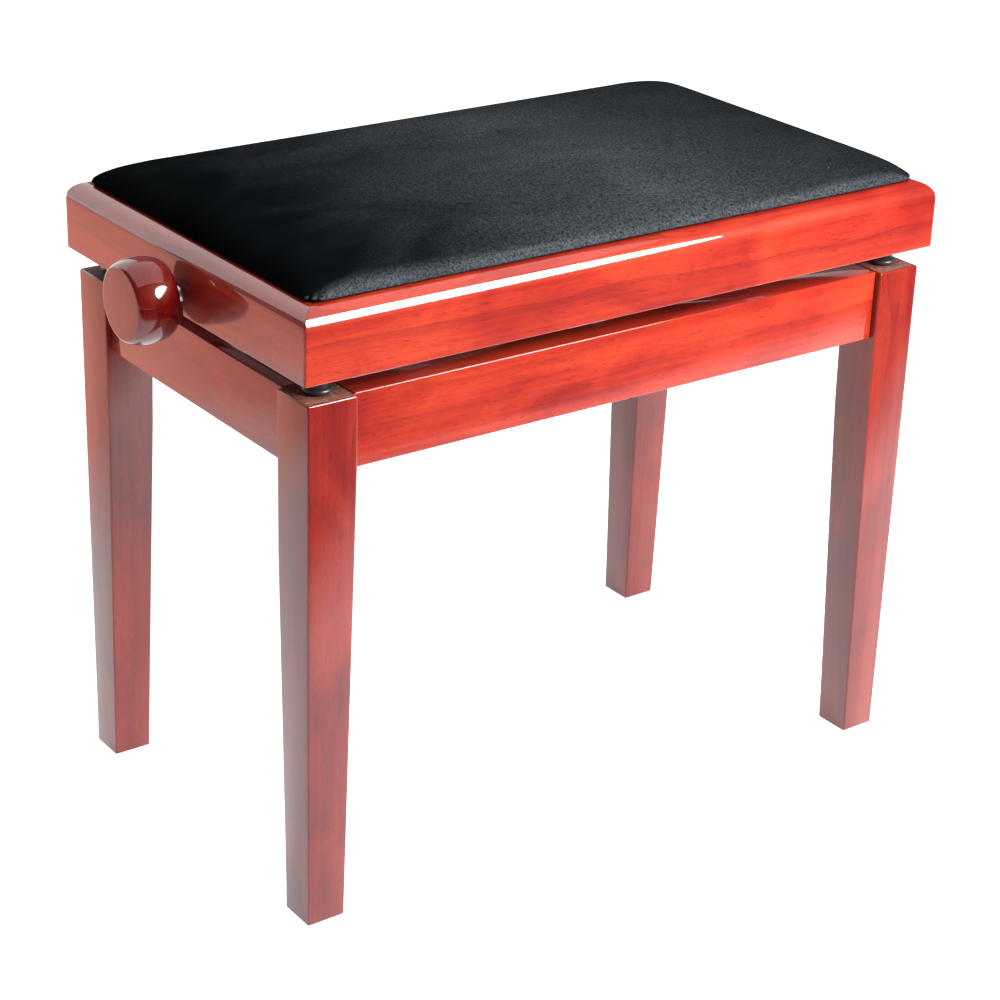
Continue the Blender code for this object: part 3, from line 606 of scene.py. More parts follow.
def powder_coat(name):
    """Black powder coat: a fine orange-peel surface, with faint dusty scuffs in patches."""
    made, tree, shader = new_finish(name)
    place = object_place(tree)
    peel = noise(tree, place, 1500, 2, 0.5)
    scuffs = noise(tree, stretched(tree, place, (60, 260, 260)), 1, 4, 0.65)
    rubbed = mask(tree, scuffs, 0.60, 0.74)
    colour = graded(tree, scuffs, (0.3, (0.014, 0.014, 0.015)), (0.7, (0.036, 0.036, 0.037)))
    rough = ranged(tree, rubbed, 0.34, 0.55)
    connect(tree, shader, {
        "Base Color": mixed(tree, maths(tree, "MULTIPLY", rubbed, 0.35), colour, (0.11, 0.11, 0.11, 1.0)),
        "Roughness": rough, "Normal": bumped(tree, peel, 0.00006, 0.5),
    })
    return made


def channel_profile(depth, height):
    """A folded C section as (distance in from the back, height) points: along its outside
    round two bends, then back along its inside round the same centres, a wall nearer."""
    quarter = np.linspace(0, np.pi / 2, 6)
    centre = height / 2 - CHANNEL_BEND
    sweep = np.concatenate([np.pi / 2 + quarter, np.pi + quarter])
    level = np.repeat([centre, -centre], 6)
    outside, inside = (
        np.stack([CHANNEL_BEND + bend * np.cos(sweep), level + bend * np.sin(sweep)], axis=1)
        for bend in (CHANNEL_BEND, CHANNEL_BEND - CHANNEL_WALL)
    )
    lips = [(depth, height / 2), (depth, -height / 2)]
    inner_lips = [(depth, CHANNEL_WALL - height / 2), (depth, height / 2 - CHANNEL_WALL)]
    return np.concatenate([lips[:1], outside, lips[1:], inner_lips[:1], inside[::-1], inner_lips[1:]])


def cross_recess(around=48):
    """The outline of a cross recess as a radius for each angle: 0.5 mm plus 1 mm times the
    eighth power of cos 2a."""
    angle = np.linspace(0, 2 * np.pi, around, endpoint=False)
    return 0.0005 + 0.0010 * np.abs(np.cos(2 * angle)) ** 8


def screw_head(radius, height):
    """Stations and radii of a low round head with a cross recess, its seat at 0."""
    ring = np.ones(48)
    dome = np.linspace(0, np.pi / 2, 7)
    stations = [(0.0, 0.0001 * ring)]
    stations += [(height * math.sin(a), (0.0018 + (radius - 0.0018) * math.cos(a)) * ring) for a in dome]
    recess = cross_recess()
    floor_level = height - 0.0009
    stations += [(height, recess), (floor_level, recess), (floor_level, 0.0001 * ring)]
    along, radii = zip(*stations)
    return along, radii


steel = powder_coat("black_powder_coat")
zinc = zinc_plate("zinc_plate", "Y")
screw_along, screw_radii = screw_head(SCREW_HEAD_RADIUS, SCREW_HEAD_HEIGHT)
for body in ("base", "seat"):
    for side, inward in (("front", 1), ("rear", -1)):
        low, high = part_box(f"{body}_channel_{side}")
        depth, height = channel_profile(high.y - low.y, high.z - low.z).T
        back = low.y if inward > 0 else high.y
        section = np.stack([back + inward * depth, (low.z + high.z) / 2 + height], axis=1)
        ends = np.array([low.x, high.x])
        points = np.concatenate([
            np.broadcast_to(ends[:, None, None], (2, len(section), 1)),
            np.broadcast_to(section, (2, *section.shape)),
        ], axis=-1)
        channel = skin(f"folded_{body}_channel_{side}", points, steel, 30.0)
        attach(channel, body)
        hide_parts(f"{body}_channel_{side}")
        seat_y, seat_z = back + inward * CHANNEL_WALL, (low.z + high.z) / 2
        seats = [(bench_x + x, seat_y, seat_z) for x in CHANNEL_SCREWS]
        screws = turned(
            f"{body}_channel_screws_{side}", screw_along, screw_radii, (0, inward, 0), seats, zinc,
        )
        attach(screws, body)


def bored_block(name, low, high, bore, easing, finish):
    """A block with a bore along Y: at angle a its outline is the smaller of half its length
    over |cos a| and half its height over |sin a|, and its rims are eased."""
    angle = np.linspace(0, 2 * np.pi, 120, endpoint=False)
    outline = np.minimum(
        (high.x - low.x) / 2 / np.maximum(np.abs(np.sin(angle)), 1e-6),
        (high.z - low.z) / 2 / np.maximum(np.abs(np.cos(angle)), 1e-6),
    )
    half = (high.y - low.y) / 2
    hole = np.full(120, bore)
    along = [-half, -half, easing - half, half - easing, half, half]
    radii = [hole, outline - easing, outline, outline, outline - easing, hole]
    return turned(name, along, radii, (0, 1, 0), (low + high) / 2, finish, 30.0, loop=True)


for level, body in (("lower", "base"), ("upper", "seat")):
    for side in ("front", "rear"):
        low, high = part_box(f"{level}_pivot_lug_{side}")
        lug = bored_block(f"bored_{level}_lug_{side}", low, high, ROD_HOLE, 0.0005, zinc)
        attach(lug, body)
        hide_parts(f"{level}_pivot_lug_{side}")


# ---------------------------------------------------------------- scissor arms, rods, bushes
# Flat bars with round ends, punched for the rods and powder-coated. Zinc-plated rods cross
# the bench through them, each kept in place by rings pressed on beside the arms, and nylon
# bushes on two of the rods run in the channels.

ARM_SPAN, ARM_WIDTH = 0.300, 0.024
ARM_EASING = 0.0004
ROD_RADIUS, ROD_CHAMFER = 0.006, 0.0006
RING_RADIUS, RING_WIDTH = 0.0092, 0.0010


def punched_plate(name, outline, holes, thickness, origin, along, across, finish):
    """A flat plate filled inside an outline and outside its round holes, its rims eased. The
    point (u, v, w) of the plate lies at origin + u * along + v * across + w * their cross."""
    curve = bpy.data.curves.new(name, "CURVE")
    curve.dimensions = "2D"
    curve.fill_mode = "BOTH"
    curve.extrude = thickness / 2 - ARM_EASING
    curve.bevel_depth = ARM_EASING
    curve.bevel_resolution = 2
    curve.offset = -ARM_EASING
    angle = np.linspace(0, 2 * np.pi, 48, endpoint=False)
    loops = [outline]
    for u, v, radius in holes:
        loops.append(np.stack([u + radius * np.cos(angle), v + radius * np.sin(angle)], axis=1))
    for points in loops:
        spline = curve.splines.new("POLY")
        spline.points.add(len(points) - 1)
        level, weight = np.zeros(len(points)), np.ones(len(points))
        spline.points.foreach_set("co", np.column_stack([points, level, weight]).ravel())
        spline.use_cyclic_u = True
    pattern = bpy.data.objects.new(name, curve)
    flat = bpy.data.meshes.new_from_object(pattern)
    bpy.data.objects.remove(pattern)
    bpy.data.curves.remove(curve)
    points = np.zeros(len(flat.vertices) * 3)
    flat.vertices.foreach_get("co", points)
    points = points.reshape(-1, 3)
    along, across = np.asarray(along, float), np.asarray(across, float)
    axes = np.stack([along, across, np.cross(along, across)])
    flat.vertices.foreach_set("co", (np.asarray(origin, float) + points @ axes).ravel())
    flat.materials.clear()
    return made_solid(name, flat, finish, 35.0)


def middle_of(name):
    """The middle of a node's box."""
    low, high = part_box(name)
    return (low + high) / 2


lower_right, upper_right = middle_of("lower_pivot_rod"), middle_of("upper_pivot_rod")
lower_left, upper_left = middle_of("lower_slide_rod"), middle_of("traverse_bar")
end = np.linspace(-np.pi / 2, np.pi / 2, 25)
arm_outline = np.concatenate([
    np.stack([ARM_SPAN + ARM_WIDTH / 2 * np.cos(end), ARM_WIDTH / 2 * np.sin(end)], axis=1),
    np.stack([-ARM_WIDTH / 2 * np.cos(end), -ARM_WIDTH / 2 * np.sin(end)], axis=1),
])
arm_holes = [(ARM_SPAN * share, 0.0, ROD_HOLE) for share in (0.0, 0.5, 1.0)]
for word, start, finish_at in (("outer", lower_right, upper_left), ("inner", lower_left, upper_right)):
    along = (finish_at - start).normalized()
    across = Vector((0, 1, 0)).cross(along)
    for side in ("front", "rear"):
        low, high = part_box(f"{word}_arm_{side}")
        origin = (start.x, (low.y + high.y) / 2, start.z)
        arm = punched_plate(
            f"punched_{word}_arm_{side}", arm_outline, arm_holes, high.y - low.y,
            origin, along, across, steel,
        )
        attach(arm, f"{word}_arms")
        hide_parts(f"{word}_arm_{side}")


def ringed_rod(name, half, rings):
    """A rod along Y as stations and radii: chamfered ends, and a pressed ring at each place."""
    chamfer = ROD_RADIUS - ROD_CHAMFER
    stations = [(-half, 0.0), (-half, chamfer), (ROD_CHAMFER - half, ROD_RADIUS)]
    for place in sorted(rings):
        near, far = place - RING_WIDTH / 2, place + RING_WIDTH / 2
        stations += [(near, ROD_RADIUS), (near, RING_RADIUS), (far, RING_RADIUS), (far, ROD_RADIUS)]
    stations += [(half - ROD_CHAMFER, ROD_RADIUS), (half, chamfer), (half, 0.0)]
    low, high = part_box(name)
    along, radii = zip(*stations)
    return turned(f"ringed_{name}", along, radii, (0, 1, 0), (low + high) / 2, zinc)


outer_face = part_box("outer_arm_rear")[0].y - 0.0004 - RING_WIDTH / 2
inner_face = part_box("inner_arm_rear")[0].y - 0.0004 - RING_WIDTH / 2
RODS = (
    ("lower_pivot_rod", "outer_arms", outer_face), ("centre_rod", "outer_arms", inner_face),
    ("lower_slide_rod", "inner_arms", inner_face), ("upper_pivot_rod", "inner_arms", inner_face),
)
for name, body, face in RODS:
    low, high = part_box(name)
    rod = ringed_rod(name, (high.y - low.y) / 2, (-face, face))
    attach(rod, body)
    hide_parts(name)

nylon, tree, shader = new_finish("natural_nylon")
place = object_place(tree)
cloud = noise(tree, place, 260, 3, 0.6)
grease = mask(tree, noise(tree, place, 90, 3, 0.6), 0.55, 0.70)
cream = graded(tree, cloud, (0.3, (0.66, 0.64, 0.57)), (0.7, (0.80, 0.79, 0.74)))
connect(tree, shader, {
    "Base Color": mixed(tree, maths(tree, "MULTIPLY", grease, 0.5), cream, (0.36, 0.33, 0.26, 1.0)),
    "Roughness": ranged(tree, grease, 0.48, 0.25),
    "Subsurface Weight": 0.08, "Subsurface Scale": 0.002,
    "Normal": bumped(tree, cloud, 0.00008, 0.4),
})
for level, body in (("lower", "inner_arms"), ("upper", "traverse")):
    for side in ("front", "rear"):
        low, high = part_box(f"{level}_slide_bush_{side}")
        half, outer, rim = (high.y - low.y) / 2, (high.z - low.z) / 2, 0.0008
        along = [-half, -half, rim - half, half - rim, half, half]
        radii = [ROD_HOLE, outer - rim, outer, outer, outer - rim, ROD_HOLE]
        bush = turned(
            f"nylon_{level}_bush_{side}", along, radii, (0, 1, 0), (low + high) / 2, nylon, loop=True,
        )
        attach(bush, body)
        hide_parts(f"{level}_slide_bush_{side}")


# ---------------------------------------------------------------- seat frame
# Four lacquered rails, mitred and glued at the corners. The outer top edge is worked to a
# wide round, the inner top edge has a rebate for the board, and the left rail is slotted
# from below for the spindle.

RAIL_THICKNESS = 0.035
TOP_ROUNDING = 0.014
TOP_FLAT = 0.001
REBATE_DEPTH = 0.0106
RAIL_EASING = 0.0008
CORNER_ROUNDING = 0.0016
MITRE_GAP = 0.00015
SPINDLE_SLOT = 0.008

rail_low, rail_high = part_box("seat_rail_front")
side_low, side_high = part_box("seat_rail_left")
seat_length = rail_high.x - rail_low.x + 2 * MITRE_GAP
seat_width = side_high.y - side_low.y + 2 * MITRE_GAP
rail_height = rail_high.z - rail_low.z


def rail_profile():
    """A rail's section as (distance in from the outer face, height) points: up the outer
    face, over the round, down the rebate, down the inner face and back along the bottom."""
    easing = np.linspace(np.pi, 1.5 * np.pi, 5)
    bottom_out = RAIL_EASING * np.stack([1 + np.cos(easing), 1 + np.sin(easing)], axis=1)[::-1]
    over = np.linspace(np.pi, np.pi / 2, 33)
    round_top = np.stack([
        TOP_ROUNDING * (1 + np.cos(over)), rail_height - TOP_ROUNDING + TOP_ROUNDING * np.sin(over),
    ], axis=1)
    lip = TOP_ROUNDING + TOP_FLAT
    ledge = rail_height - REBATE_DEPTH
    easing = np.linspace(0, -np.pi / 2, 5)
    bottom_in = np.stack([
        RAIL_THICKNESS - RAIL_EASING + RAIL_EASING * np.cos(easing), RAIL_EASING * (1 + np.sin(easing)),
    ], axis=1)
    straight = np.array([(lip, rail_height), (lip, ledge), (RAIL_THICKNESS, ledge)])
    return np.concatenate([bottom_out, round_top, straight, bottom_in])


def mitred_rail(name, half_length, half_width, quarter_turns, finish):
    """A rail carried along X at -Y and then turned round the bench. At each end its outer
    face follows a quarter circle of the corner's rounding as far as the mitre at 45 degrees:
    at angle a a point stands in by the rounding less (rounding - inset) * cos a."""
    inset, height = rail_profile().T
    angle = np.linspace(0, np.pi / 4, 7)
    arm = np.maximum(CORNER_ROUNDING - inset, 0)
    end_x = half_length - MITRE_GAP - np.maximum(inset, CORNER_ROUNDING)
    run = 0.0006 * (1 - angle / angle[-1])
    x = end_x - run[:, None] + arm * np.sin(angle)[:, None]
    y = -half_width + np.minimum(inset, CORNER_ROUNDING) + np.maximum(inset - CORNER_ROUNDING, 0)
    y = y + arm * (1 - np.cos(angle))[:, None]
    flat = np.stack([x, y, np.broadcast_to(height, x.shape)], axis=-1)
    start = flat[::-1] * (-1, 1, 1)
    inward = np.array([0.02, 0.0, 0.0])
    rings = np.concatenate([start, start[-1:] + inward, flat[:1] - inward, flat])
    cos, sin = math.cos(quarter_turns * math.pi / 2), math.sin(quarter_turns * math.pi / 2)
    turned_x = bench_x + rings[..., 0] * cos - rings[..., 1] * sin
    turned_y = rings[..., 0] * sin + rings[..., 1] * cos
    points = np.stack([turned_x, turned_y, rail_low.z + rings[..., 2]], axis=-1)
    return skin(name, points, finish, 25.0)


def combined(obj, operation, other, sharp=30.0):
    """Joins another closed mesh to the object or cuts it away, and removes it."""
    step = obj.modifiers.new("step", "BOOLEAN")
    step.operation = operation
    step.object = other
    graph = bpy.context.evaluated_depsgraph_get()
    result = bpy.data.meshes.new_from_object(obj.evaluated_get(graph))
    obj.modifiers.clear()
    obj.data = result
    result.shade_smooth()
    result.set_sharp_from_angle(angle=math.radians(sharp))
    bpy.data.objects.remove(other)


half_length, half_width = seat_length / 2, seat_width / 2
RAILS = (
    ("front", half_length, half_width, 0, "X"), ("right", half_width, half_length, 1, "Y"),
    ("rear", half_length, half_width, 2, "X"), ("left", half_width, half_length, 3, "Y"),
)
rails = {}
for side, along_half, across_half, quarter_turns, grain in RAILS:
    start = (0.21 + 0.53 * quarter_turns, 0.34 + 0.11 * quarter_turns, 0.02 + 0.07 * quarter_turns)
    lacquer = red_lacquer(f"rail_lacquer_{side}", grain, start, 0.45)
    rails[side] = mitred_rail(f"lacquered_rail_{side}", along_half, across_half, quarter_turns, lacquer)

knob_low, knob_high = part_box("height_knob")
spindle_z = (knob_low.z + knob_high.z) / 2
angle = np.linspace(0, np.pi, 25)
slot_y = np.concatenate([SPINDLE_SLOT * np.cos(angle), [-SPINDLE_SLOT, SPINDLE_SLOT]])
slot_z = spindle_z + np.concatenate([SPINDLE_SLOT * np.sin(angle), [-0.02, -0.02]])
slot_x = bench_x - half_length + np.array([-0.004, RAIL_THICKNESS + 0.004])
slot_rings = np.stack([
    np.broadcast_to(slot_x[:, None], (2, len(slot_y))),
    np.broadcast_to(slot_y, (2, len(slot_y))), np.broadcast_to(slot_z, (2, len(slot_z))),
], axis=-1)
cutter = skin("slot_cutter", slot_rings, sawn_top)
combined(rails["left"], "DIFFERENCE", cutter, 25.0)

for side, rail in rails.items():
    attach(rail, "seat")
    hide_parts(f"seat_rail_{side}")


# ---------------------------------------------------------------- seat board
# A dark-stained plywood board that drops into the frame's rebate and carries the pad. The
# pad's velvet is wrapped round its edge and a little way in under it, in a frayed line.

VELVET_WRAP = 0.016

board_low, board_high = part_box("seat_board")
plywood, tree, shader = new_finish("stained_plywood")
place = object_place(tree)
centred = node(tree, "Mapping", {"Vector": place, "Location": (-bench_x, 0.0, 0.0)}).outputs["Vector"]
face_streaks = noise(tree, stretched(tree, place, (4, 60, 60)), 1, 5, 0.65, 0.6)
veneer = graded(tree, face_streaks, (0.32, (0.016, 0.007, 0.005)), (0.68, (0.036, 0.018, 0.013)))
axes = node(tree, "SeparateXYZ", {"Vector": centred}).outputs
frayed = maths(tree, "MULTIPLY", noise(tree, place, 160, 3), 0.006)
beyond = [
    maths(tree, "ADD", maths(tree, "SUBTRACT", maths(tree, "ABSOLUTE", axes[name], 0.0), reach), frayed)
    for name, reach in (("X", (board_high.x - board_low.x) / 2), ("Y", board_high.y))
]
wrap = mask(tree, maths(tree, "ADD", maths(tree, "MAXIMUM", *beyond), VELVET_WRAP), 0.0, 0.0006)
connect(tree, shader, {
    "Base Color": mixed(tree, wrap, veneer, (0.0030, 0.0036, 0.0040, 1.0)),
    "Roughness": ranged(tree, wrap, 0.62, 0.95),
    "Normal": bumped(tree, face_streaks, 0.0002, 0.5),
})
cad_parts["seat_board"].material_slots[0].material = plywood


# ---------------------------------------------------------------- velvet pad
# Foam under black velvet, pulled over the board's edge and stapled below. The pile is short
# and shows strokes where it was brushed and a few specks. Its sheen is painted into the base
# colour: a painted highlight line along the front, and painted sheen that is dark on the left
# and paler in the middle and right.

PAD_CORNER_RADIUS, PAD_CORNER_GROWTH = 0.013, 0.9
PAD_SHOULDER, PAD_SIDE, PAD_CROWN = 0.026, 0.004, 0.007
PAD_PULL, PAD_SINK = 0.0010, 0.36
PAD_VOXEL, PAD_HELD = 0.004, 0.004
PAD_OVERHANG, PAD_SWELL = 0.0018, 0.0012
PAD_FRAMES, PAD_PRESSURE = 20, 4.0

velvet, tree, shader = new_finish("black_velvet")
place = object_place(tree)
centred = node(tree, "Mapping", {"Vector": place, "Location": (-bench_x, 0.0, 0.0)}).outputs["Vector"]
along = node(tree, "SeparateXYZ", {"Vector": centred}).outputs["X"]
strokes = noise(tree, stretched(tree, place, (9, 14, 12)), 1, 3, 0.5, 0.8)
tufts = noise(tree, place, 520, 3, 0.7)
pile = noise(tree, place, 1500, 2, 0.6)
# Painted sheen: a share that is dark on the left and paler in the middle and right along X, waved by the
# brush strokes, standing in for the velvet's sheen.
waved = maths(tree, "ADD", along, maths(tree, "MULTIPLY", strokes, 0.10))
length = node(tree, "MapRange", {"Value": waved, "From Min": -0.25, "From Max": 0.35}).outputs["Result"]
painted_sheen_along_x = graded(
    tree, length, (0.14, (0, 0, 0)), (0.58, (1, 1, 1)), (0.74, (0.5, 0.5, 0.5)), (0.94, (0.24, 0.24, 0.24)),
)
# Painted highlight: faces turned to the front get a pale band in the base colour, standing in for the sheen
# the front light raises there.
facing = node(tree, "SeparateXYZ", {"Vector": node(tree, "NewGeometry").outputs["Normal"]}).outputs["Y"]
painted_front_sheen = mask(tree, maths(tree, "MULTIPLY", facing, -1.0), 0.36, 0.74)
# Painted sheen share: the lighter of the painted sheen along X and the painted front highlight band.
painted_sheen_share = mixed(tree, 1.0, painted_sheen_along_x, maths(tree, "MULTIPLY", painted_front_sheen, 1.15), "LIGHTEN")
brushed = mask(tree, strokes, 0.38, 0.62)
fuzz = maths(tree, "ADD", maths(tree, "MULTIPLY", tufts, 0.6), maths(tree, "MULTIPLY", pile, 0.4))
fuzz_range = {"Value": fuzz, "From Min": 0.40, "From Max": 0.60, "To Min": 0.25, "To Max": 1.8}
fuzz = node(tree, "MapRange", fuzz_range).outputs["Result"]
colour = graded(tree, brushed, (0.0, (0.0008, 0.0012, 0.0015)), (1.0, (0.0018, 0.0024, 0.0028)))
specks = node(tree, "TexVoronoi", {"Vector": place, "Scale": 42.0, "Randomness": 1.0}).outputs["Distance"]
lint = mask(tree, specks, 0.020, 0.012)
colour = mixed(tree, lint, colour, (0.10, 0.105, 0.11, 1.0))
# Painted sheen: the base colour is mixed toward pale blue-grey by the painted sheen share, the pile fuzz
# and this strength, which the brush strokes vary.
strength = maths(tree, "ADD", maths(tree, "MULTIPLY", brushed, 0.075), 0.20)
pale = maths(tree, "MULTIPLY", maths(tree, "MULTIPLY", painted_sheen_share, fuzz), strength)
connect(tree, shader, {
    "Base Color": mixed(tree, pale, colour, (0.083, 0.093, 0.103, 1.0)),
    "Roughness": ranged(tree, strokes, 0.78, 0.66),
    "Specular IOR Level": 0.0,
    "Sheen Weight": 0.004, "Sheen Roughness": 0.5, "Sheen Tint": (0.72, 0.84, 0.90, 1.0),
    "Normal": bumped(tree, tufts, 0.0005, 0.7, bumped(tree, pile, 0.0003, 0.5)),
})


def pad_rings(low, high, crown):
    """The pad before it is stuffed: rounded rectangles from its underside, up a short upright
    side, over a quarter ellipse and in to the middle, rising by crown * (1 - inset share^2).
    Between its corners each side pulls in by pull * (1 - (share of the half length)^4), and
    each corner sinks by a share of its height, sink * |x share|^5 * |y share|^5. The corner
    radius grows with the inset up to the shoulder."""
    half = (high - low) / 2
    turn = np.linspace(0, np.pi / 2, 15)
    edge_top = high.z - low.z - crown
    inward = np.linspace(PAD_SHOULDER + 0.006, half.y - 0.004, 22)
    inset = np.concatenate([[0.05, 0.01, 0.0, 0.0], PAD_SHOULDER * (1 - np.cos(turn)), inward])
    level = np.concatenate([
        [0, 0, 0, PAD_SIDE / 2], PAD_SIDE + (edge_top - PAD_SIDE) * np.sin(turn),
        edge_top + crown * (1 - (1 - (inward - PAD_SHOULDER) / (half.y - PAD_SHOULDER)) ** 2),
    ])
    corner = PAD_CORNER_RADIUS + PAD_CORNER_GROWTH * np.minimum(inset, PAD_SHOULDER)
    middle = np.array([(low.x + high.x) / 2, (low.y + high.y) / 2])
    reach = np.array([half.x, half.y]) - inset[:, None]
    flat = rounded_rings(middle - reach, middle + reach, corner, 8) - middle
    share = np.abs(flat) / (half.x, half.y)
    flat = middle + flat - np.sign(flat) * PAD_PULL * share * (1 - share[..., ::-1] ** 4)
    sunk = 1 - PAD_SINK * (share[..., 0] * share[..., 1]) ** 5
    heights = low.z + level[:, None] * sunk
    return np.concatenate([flat, heights[..., None]], axis=-1)


def evened(mesh, points, fixed, rounds=5):
    """Points drawn half way to the average of their neighbours, round after round, except
    the fixed ones."""
    edges = np.zeros(len(mesh.edges) * 2, np.int64)
    mesh.edges.foreach_get("vertices", edges)
    ends, others = edges.reshape(-1, 2).T
    count = np.bincount(edges, minlength=len(points))[:, None]
    for _ in range(rounds):
        total = np.stack([
            np.bincount(ends, points[others, i], len(points))
            + np.bincount(others, points[ends, i], len(points))
            for i in range(3)
        ], axis=1)
        points = np.where(fixed[:, None], points, (points + total / count) / 2)
    return points


def swollen(shape, floor_z, most):
    """The shape remeshed in even quads and swollen as cloth under an even pressure, with its
    underside held. A point moves straight to where the cloth takes it, but by at most most."""
    remesh = shape.modifiers.new("even", "REMESH")
    remesh.mode = "VOXEL"
    remesh.voxel_size = PAD_VOXEL
    graph = bpy.context.evaluated_depsgraph_get()
    shape.data = bpy.data.meshes.new_from_object(shape.evaluated_get(graph))
    shape.modifiers.clear()
    count = len(shape.data.vertices)
    before = np.zeros(count * 3)
    shape.data.vertices.foreach_get("co", before)
    before = before.reshape(-1, 3)
    held = shape.vertex_groups.new(name="held")
    held.add(np.flatnonzero(before[:, 2] < floor_z + PAD_HELD).tolist(), 1.0, "REPLACE")
    cloth = shape.modifiers.new("cloth", "CLOTH")
    cloth.settings.vertex_group_mass = "held"
    cloth.settings.use_pressure = True
    cloth.settings.uniform_pressure_force = PAD_PRESSURE
    cloth.settings.effector_weights.gravity = 0.0
    cloth.point_cache.frame_start, cloth.point_cache.frame_end = 1, PAD_FRAMES
    for number in range(1, PAD_FRAMES + 1):
        scene.frame_set(number)
    graph = bpy.context.evaluated_depsgraph_get()
    after = np.zeros(count * 3)
    shape.evaluated_get(graph).data.vertices.foreach_get("co", after)
    shape.modifiers.clear()
    shape.vertex_groups.clear()
    scene.frame_set(1)
    move = after.reshape(-1, 3) - before
    length = np.linalg.norm(move, axis=1, keepdims=True)
    move *= np.minimum(1, most / np.maximum(length, 1e-9))
    moved = evened(shape.data, before + move, before[:, 2] < floor_z + PAD_HELD)
    shape.data.vertices.foreach_set("co", moved.ravel())
    shape.data.update()


pad_low, pad_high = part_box("seat_cushion")
overhang = Vector((PAD_OVERHANG, PAD_OVERHANG, 0.0))
pad = skin("velvet_pad", pad_rings(pad_low - overhang, pad_high + overhang, PAD_CROWN), velvet, 180.0)
swollen(pad, pad_low.z, PAD_SWELL)
finer = pad.modifiers.new("finer", "SUBSURF")
finer.levels = finer.render_levels = 1
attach(pad, "seat")
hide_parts("seat_cushion")


# ---------------------------------------------------------------- traverse bar and nut
# A square steel bar between the upper slide bushes, its ends turned down to the rods' size.
# A flanged bronze nut is pressed through its middle, and the spindle draws it along.

NUT_RADIUS, NUT_FLANGE_RADIUS, NUT_FLANGE_THICKNESS = 0.009, 0.0115, 0.004
BAR_SIDE, BAR_EASING = 0.024, 0.0014

bar_low, bar_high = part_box("traverse_bar")
bar_middle = (bar_low + bar_high) / 2
bar_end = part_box("inner_arm_rear")[0].y - 0.001
half = BAR_SIDE / 2
section_low = (bar_middle.x - half, bar_middle.z - half)
section_high = (bar_middle.x + half, bar_middle.z + half)
bar = eased_bar(
    "square_traverse_bar", "Y", (-bar_end, bar_end), [section_low] * 2, [section_high] * 2,
    BAR_EASING, steel,
)
reach = bar_high.y
journals = turned(
    "journals", (-reach, -reach, ROD_CHAMFER - reach, reach - ROD_CHAMFER, reach, reach),
    (0, ROD_RADIUS - ROD_CHAMFER, ROD_RADIUS, ROD_RADIUS, ROD_RADIUS - ROD_CHAMFER, 0),
    (0, 1, 0), bar_middle, steel,
)
bore = turned(
    "nut_bore", (-BAR_SIDE, -BAR_SIDE, BAR_SIDE, BAR_SIDE),
    (0, NUT_RADIUS + 0.0002, NUT_RADIUS + 0.0002, 0), (1, 0, 0), bar_middle, steel,
)


combined(bar, "UNION", journals)
combined(bar, "DIFFERENCE", bore)
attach(bar, "traverse")
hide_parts("traverse_bar")

bronze, tree, shader = new_finish("machined_bronze")
place = object_place(tree)
turning = noise(tree, stretched(tree, place, (3200, 60, 60)), 1, 2, 0.5)
tarnish = noise(tree, place, 170, 4, 0.6)
connect(tree, shader, {
    "Base Color": graded(tree, tarnish, (0.3, (0.36, 0.22, 0.09)), (0.7, (0.66, 0.45, 0.21))),
    "Metallic": 1.0,
    "Roughness": ranged(tree, tarnish, 0.42, 0.26),
    "Normal": bumped(tree, turning, 0.00003, 0.5),
})
nut_low, nut_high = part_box("spindle_nut")
flange = nut_high.x - NUT_FLANGE_THICKNESS
rim = 0.0006
nut = turned(
    "flanged_nut",
    (nut_low.x, nut_low.x, nut_low.x + rim, flange, flange, flange + rim,
     nut_high.x - rim, nut_high.x, nut_high.x),
    (ROD_HOLE, NUT_RADIUS - rim, NUT_RADIUS, NUT_RADIUS, NUT_FLANGE_RADIUS - rim, NUT_FLANGE_RADIUS,
     NUT_FLANGE_RADIUS, NUT_FLANGE_RADIUS - rim, ROD_HOLE),
    (1, 0, 0), (0, 0, bar_middle.z), bronze, loop=True,
)
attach(nut, "traverse")
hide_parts("spindle_nut")


# ---------------------------------------------------------------- spindle and its bracket
# A zinc-plated spindle with a left-hand trapezoidal thread, so that a clockwise turn of the
# knob raises the seat. A thrust collar bears on a steel bracket screwed inside the left rail.

THREAD_PITCH, THREAD_DEPTH, THREAD_RUNOUT = 0.003, 0.0009, 0.004
RINGS_PER_PITCH, AROUND = 10, 28
COLLAR_RIM, COLLAR_GROOVE = 0.0006, 0.0004
BRACKET_HOLE, BRACKET_SCREW_SPACING, BRACKET_SCREW_SHANK = 0.0063, 0.044, 0.0018

spindle_low, spindle_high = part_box("spindle")
collar_low, collar_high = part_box("thrust_collar")
thread_start = collar_high.x + 0.004
thread_x = np.arange(thread_start, spindle_high.x - 0.0012, THREAD_PITCH / RINGS_PER_PITCH)
turn_angle = np.linspace(0, 2 * np.pi, AROUND, endpoint=False)
phase = (thread_x[:, None] + THREAD_PITCH * turn_angle[None, :] / (2 * np.pi)) / THREAD_PITCH
ridge = np.clip(1.5 - 6 * np.abs(phase % 1 - 0.5) + 0.5, 0, 1)
cut_in = np.clip((thread_x - thread_start) / THREAD_RUNOUT, 0, 1)[:, None]
thread_radius = ROD_RADIUS - THREAD_DEPTH * cut_in * (1 - ridge)
plain = np.ones((1, AROUND))
spindle_radius = np.concatenate([
    0 * plain, (ROD_RADIUS - 0.0012) * plain, ROD_RADIUS * plain, thread_radius,
    (ROD_RADIUS - 0.0012) * plain, 0 * plain,
])
spindle_x = np.concatenate([
    [spindle_low.x, spindle_low.x, spindle_low.x + 0.0012], thread_x, [spindle_high.x, spindle_high.x],
])
spindle_zinc = zinc_plate("spindle_zinc", "X")
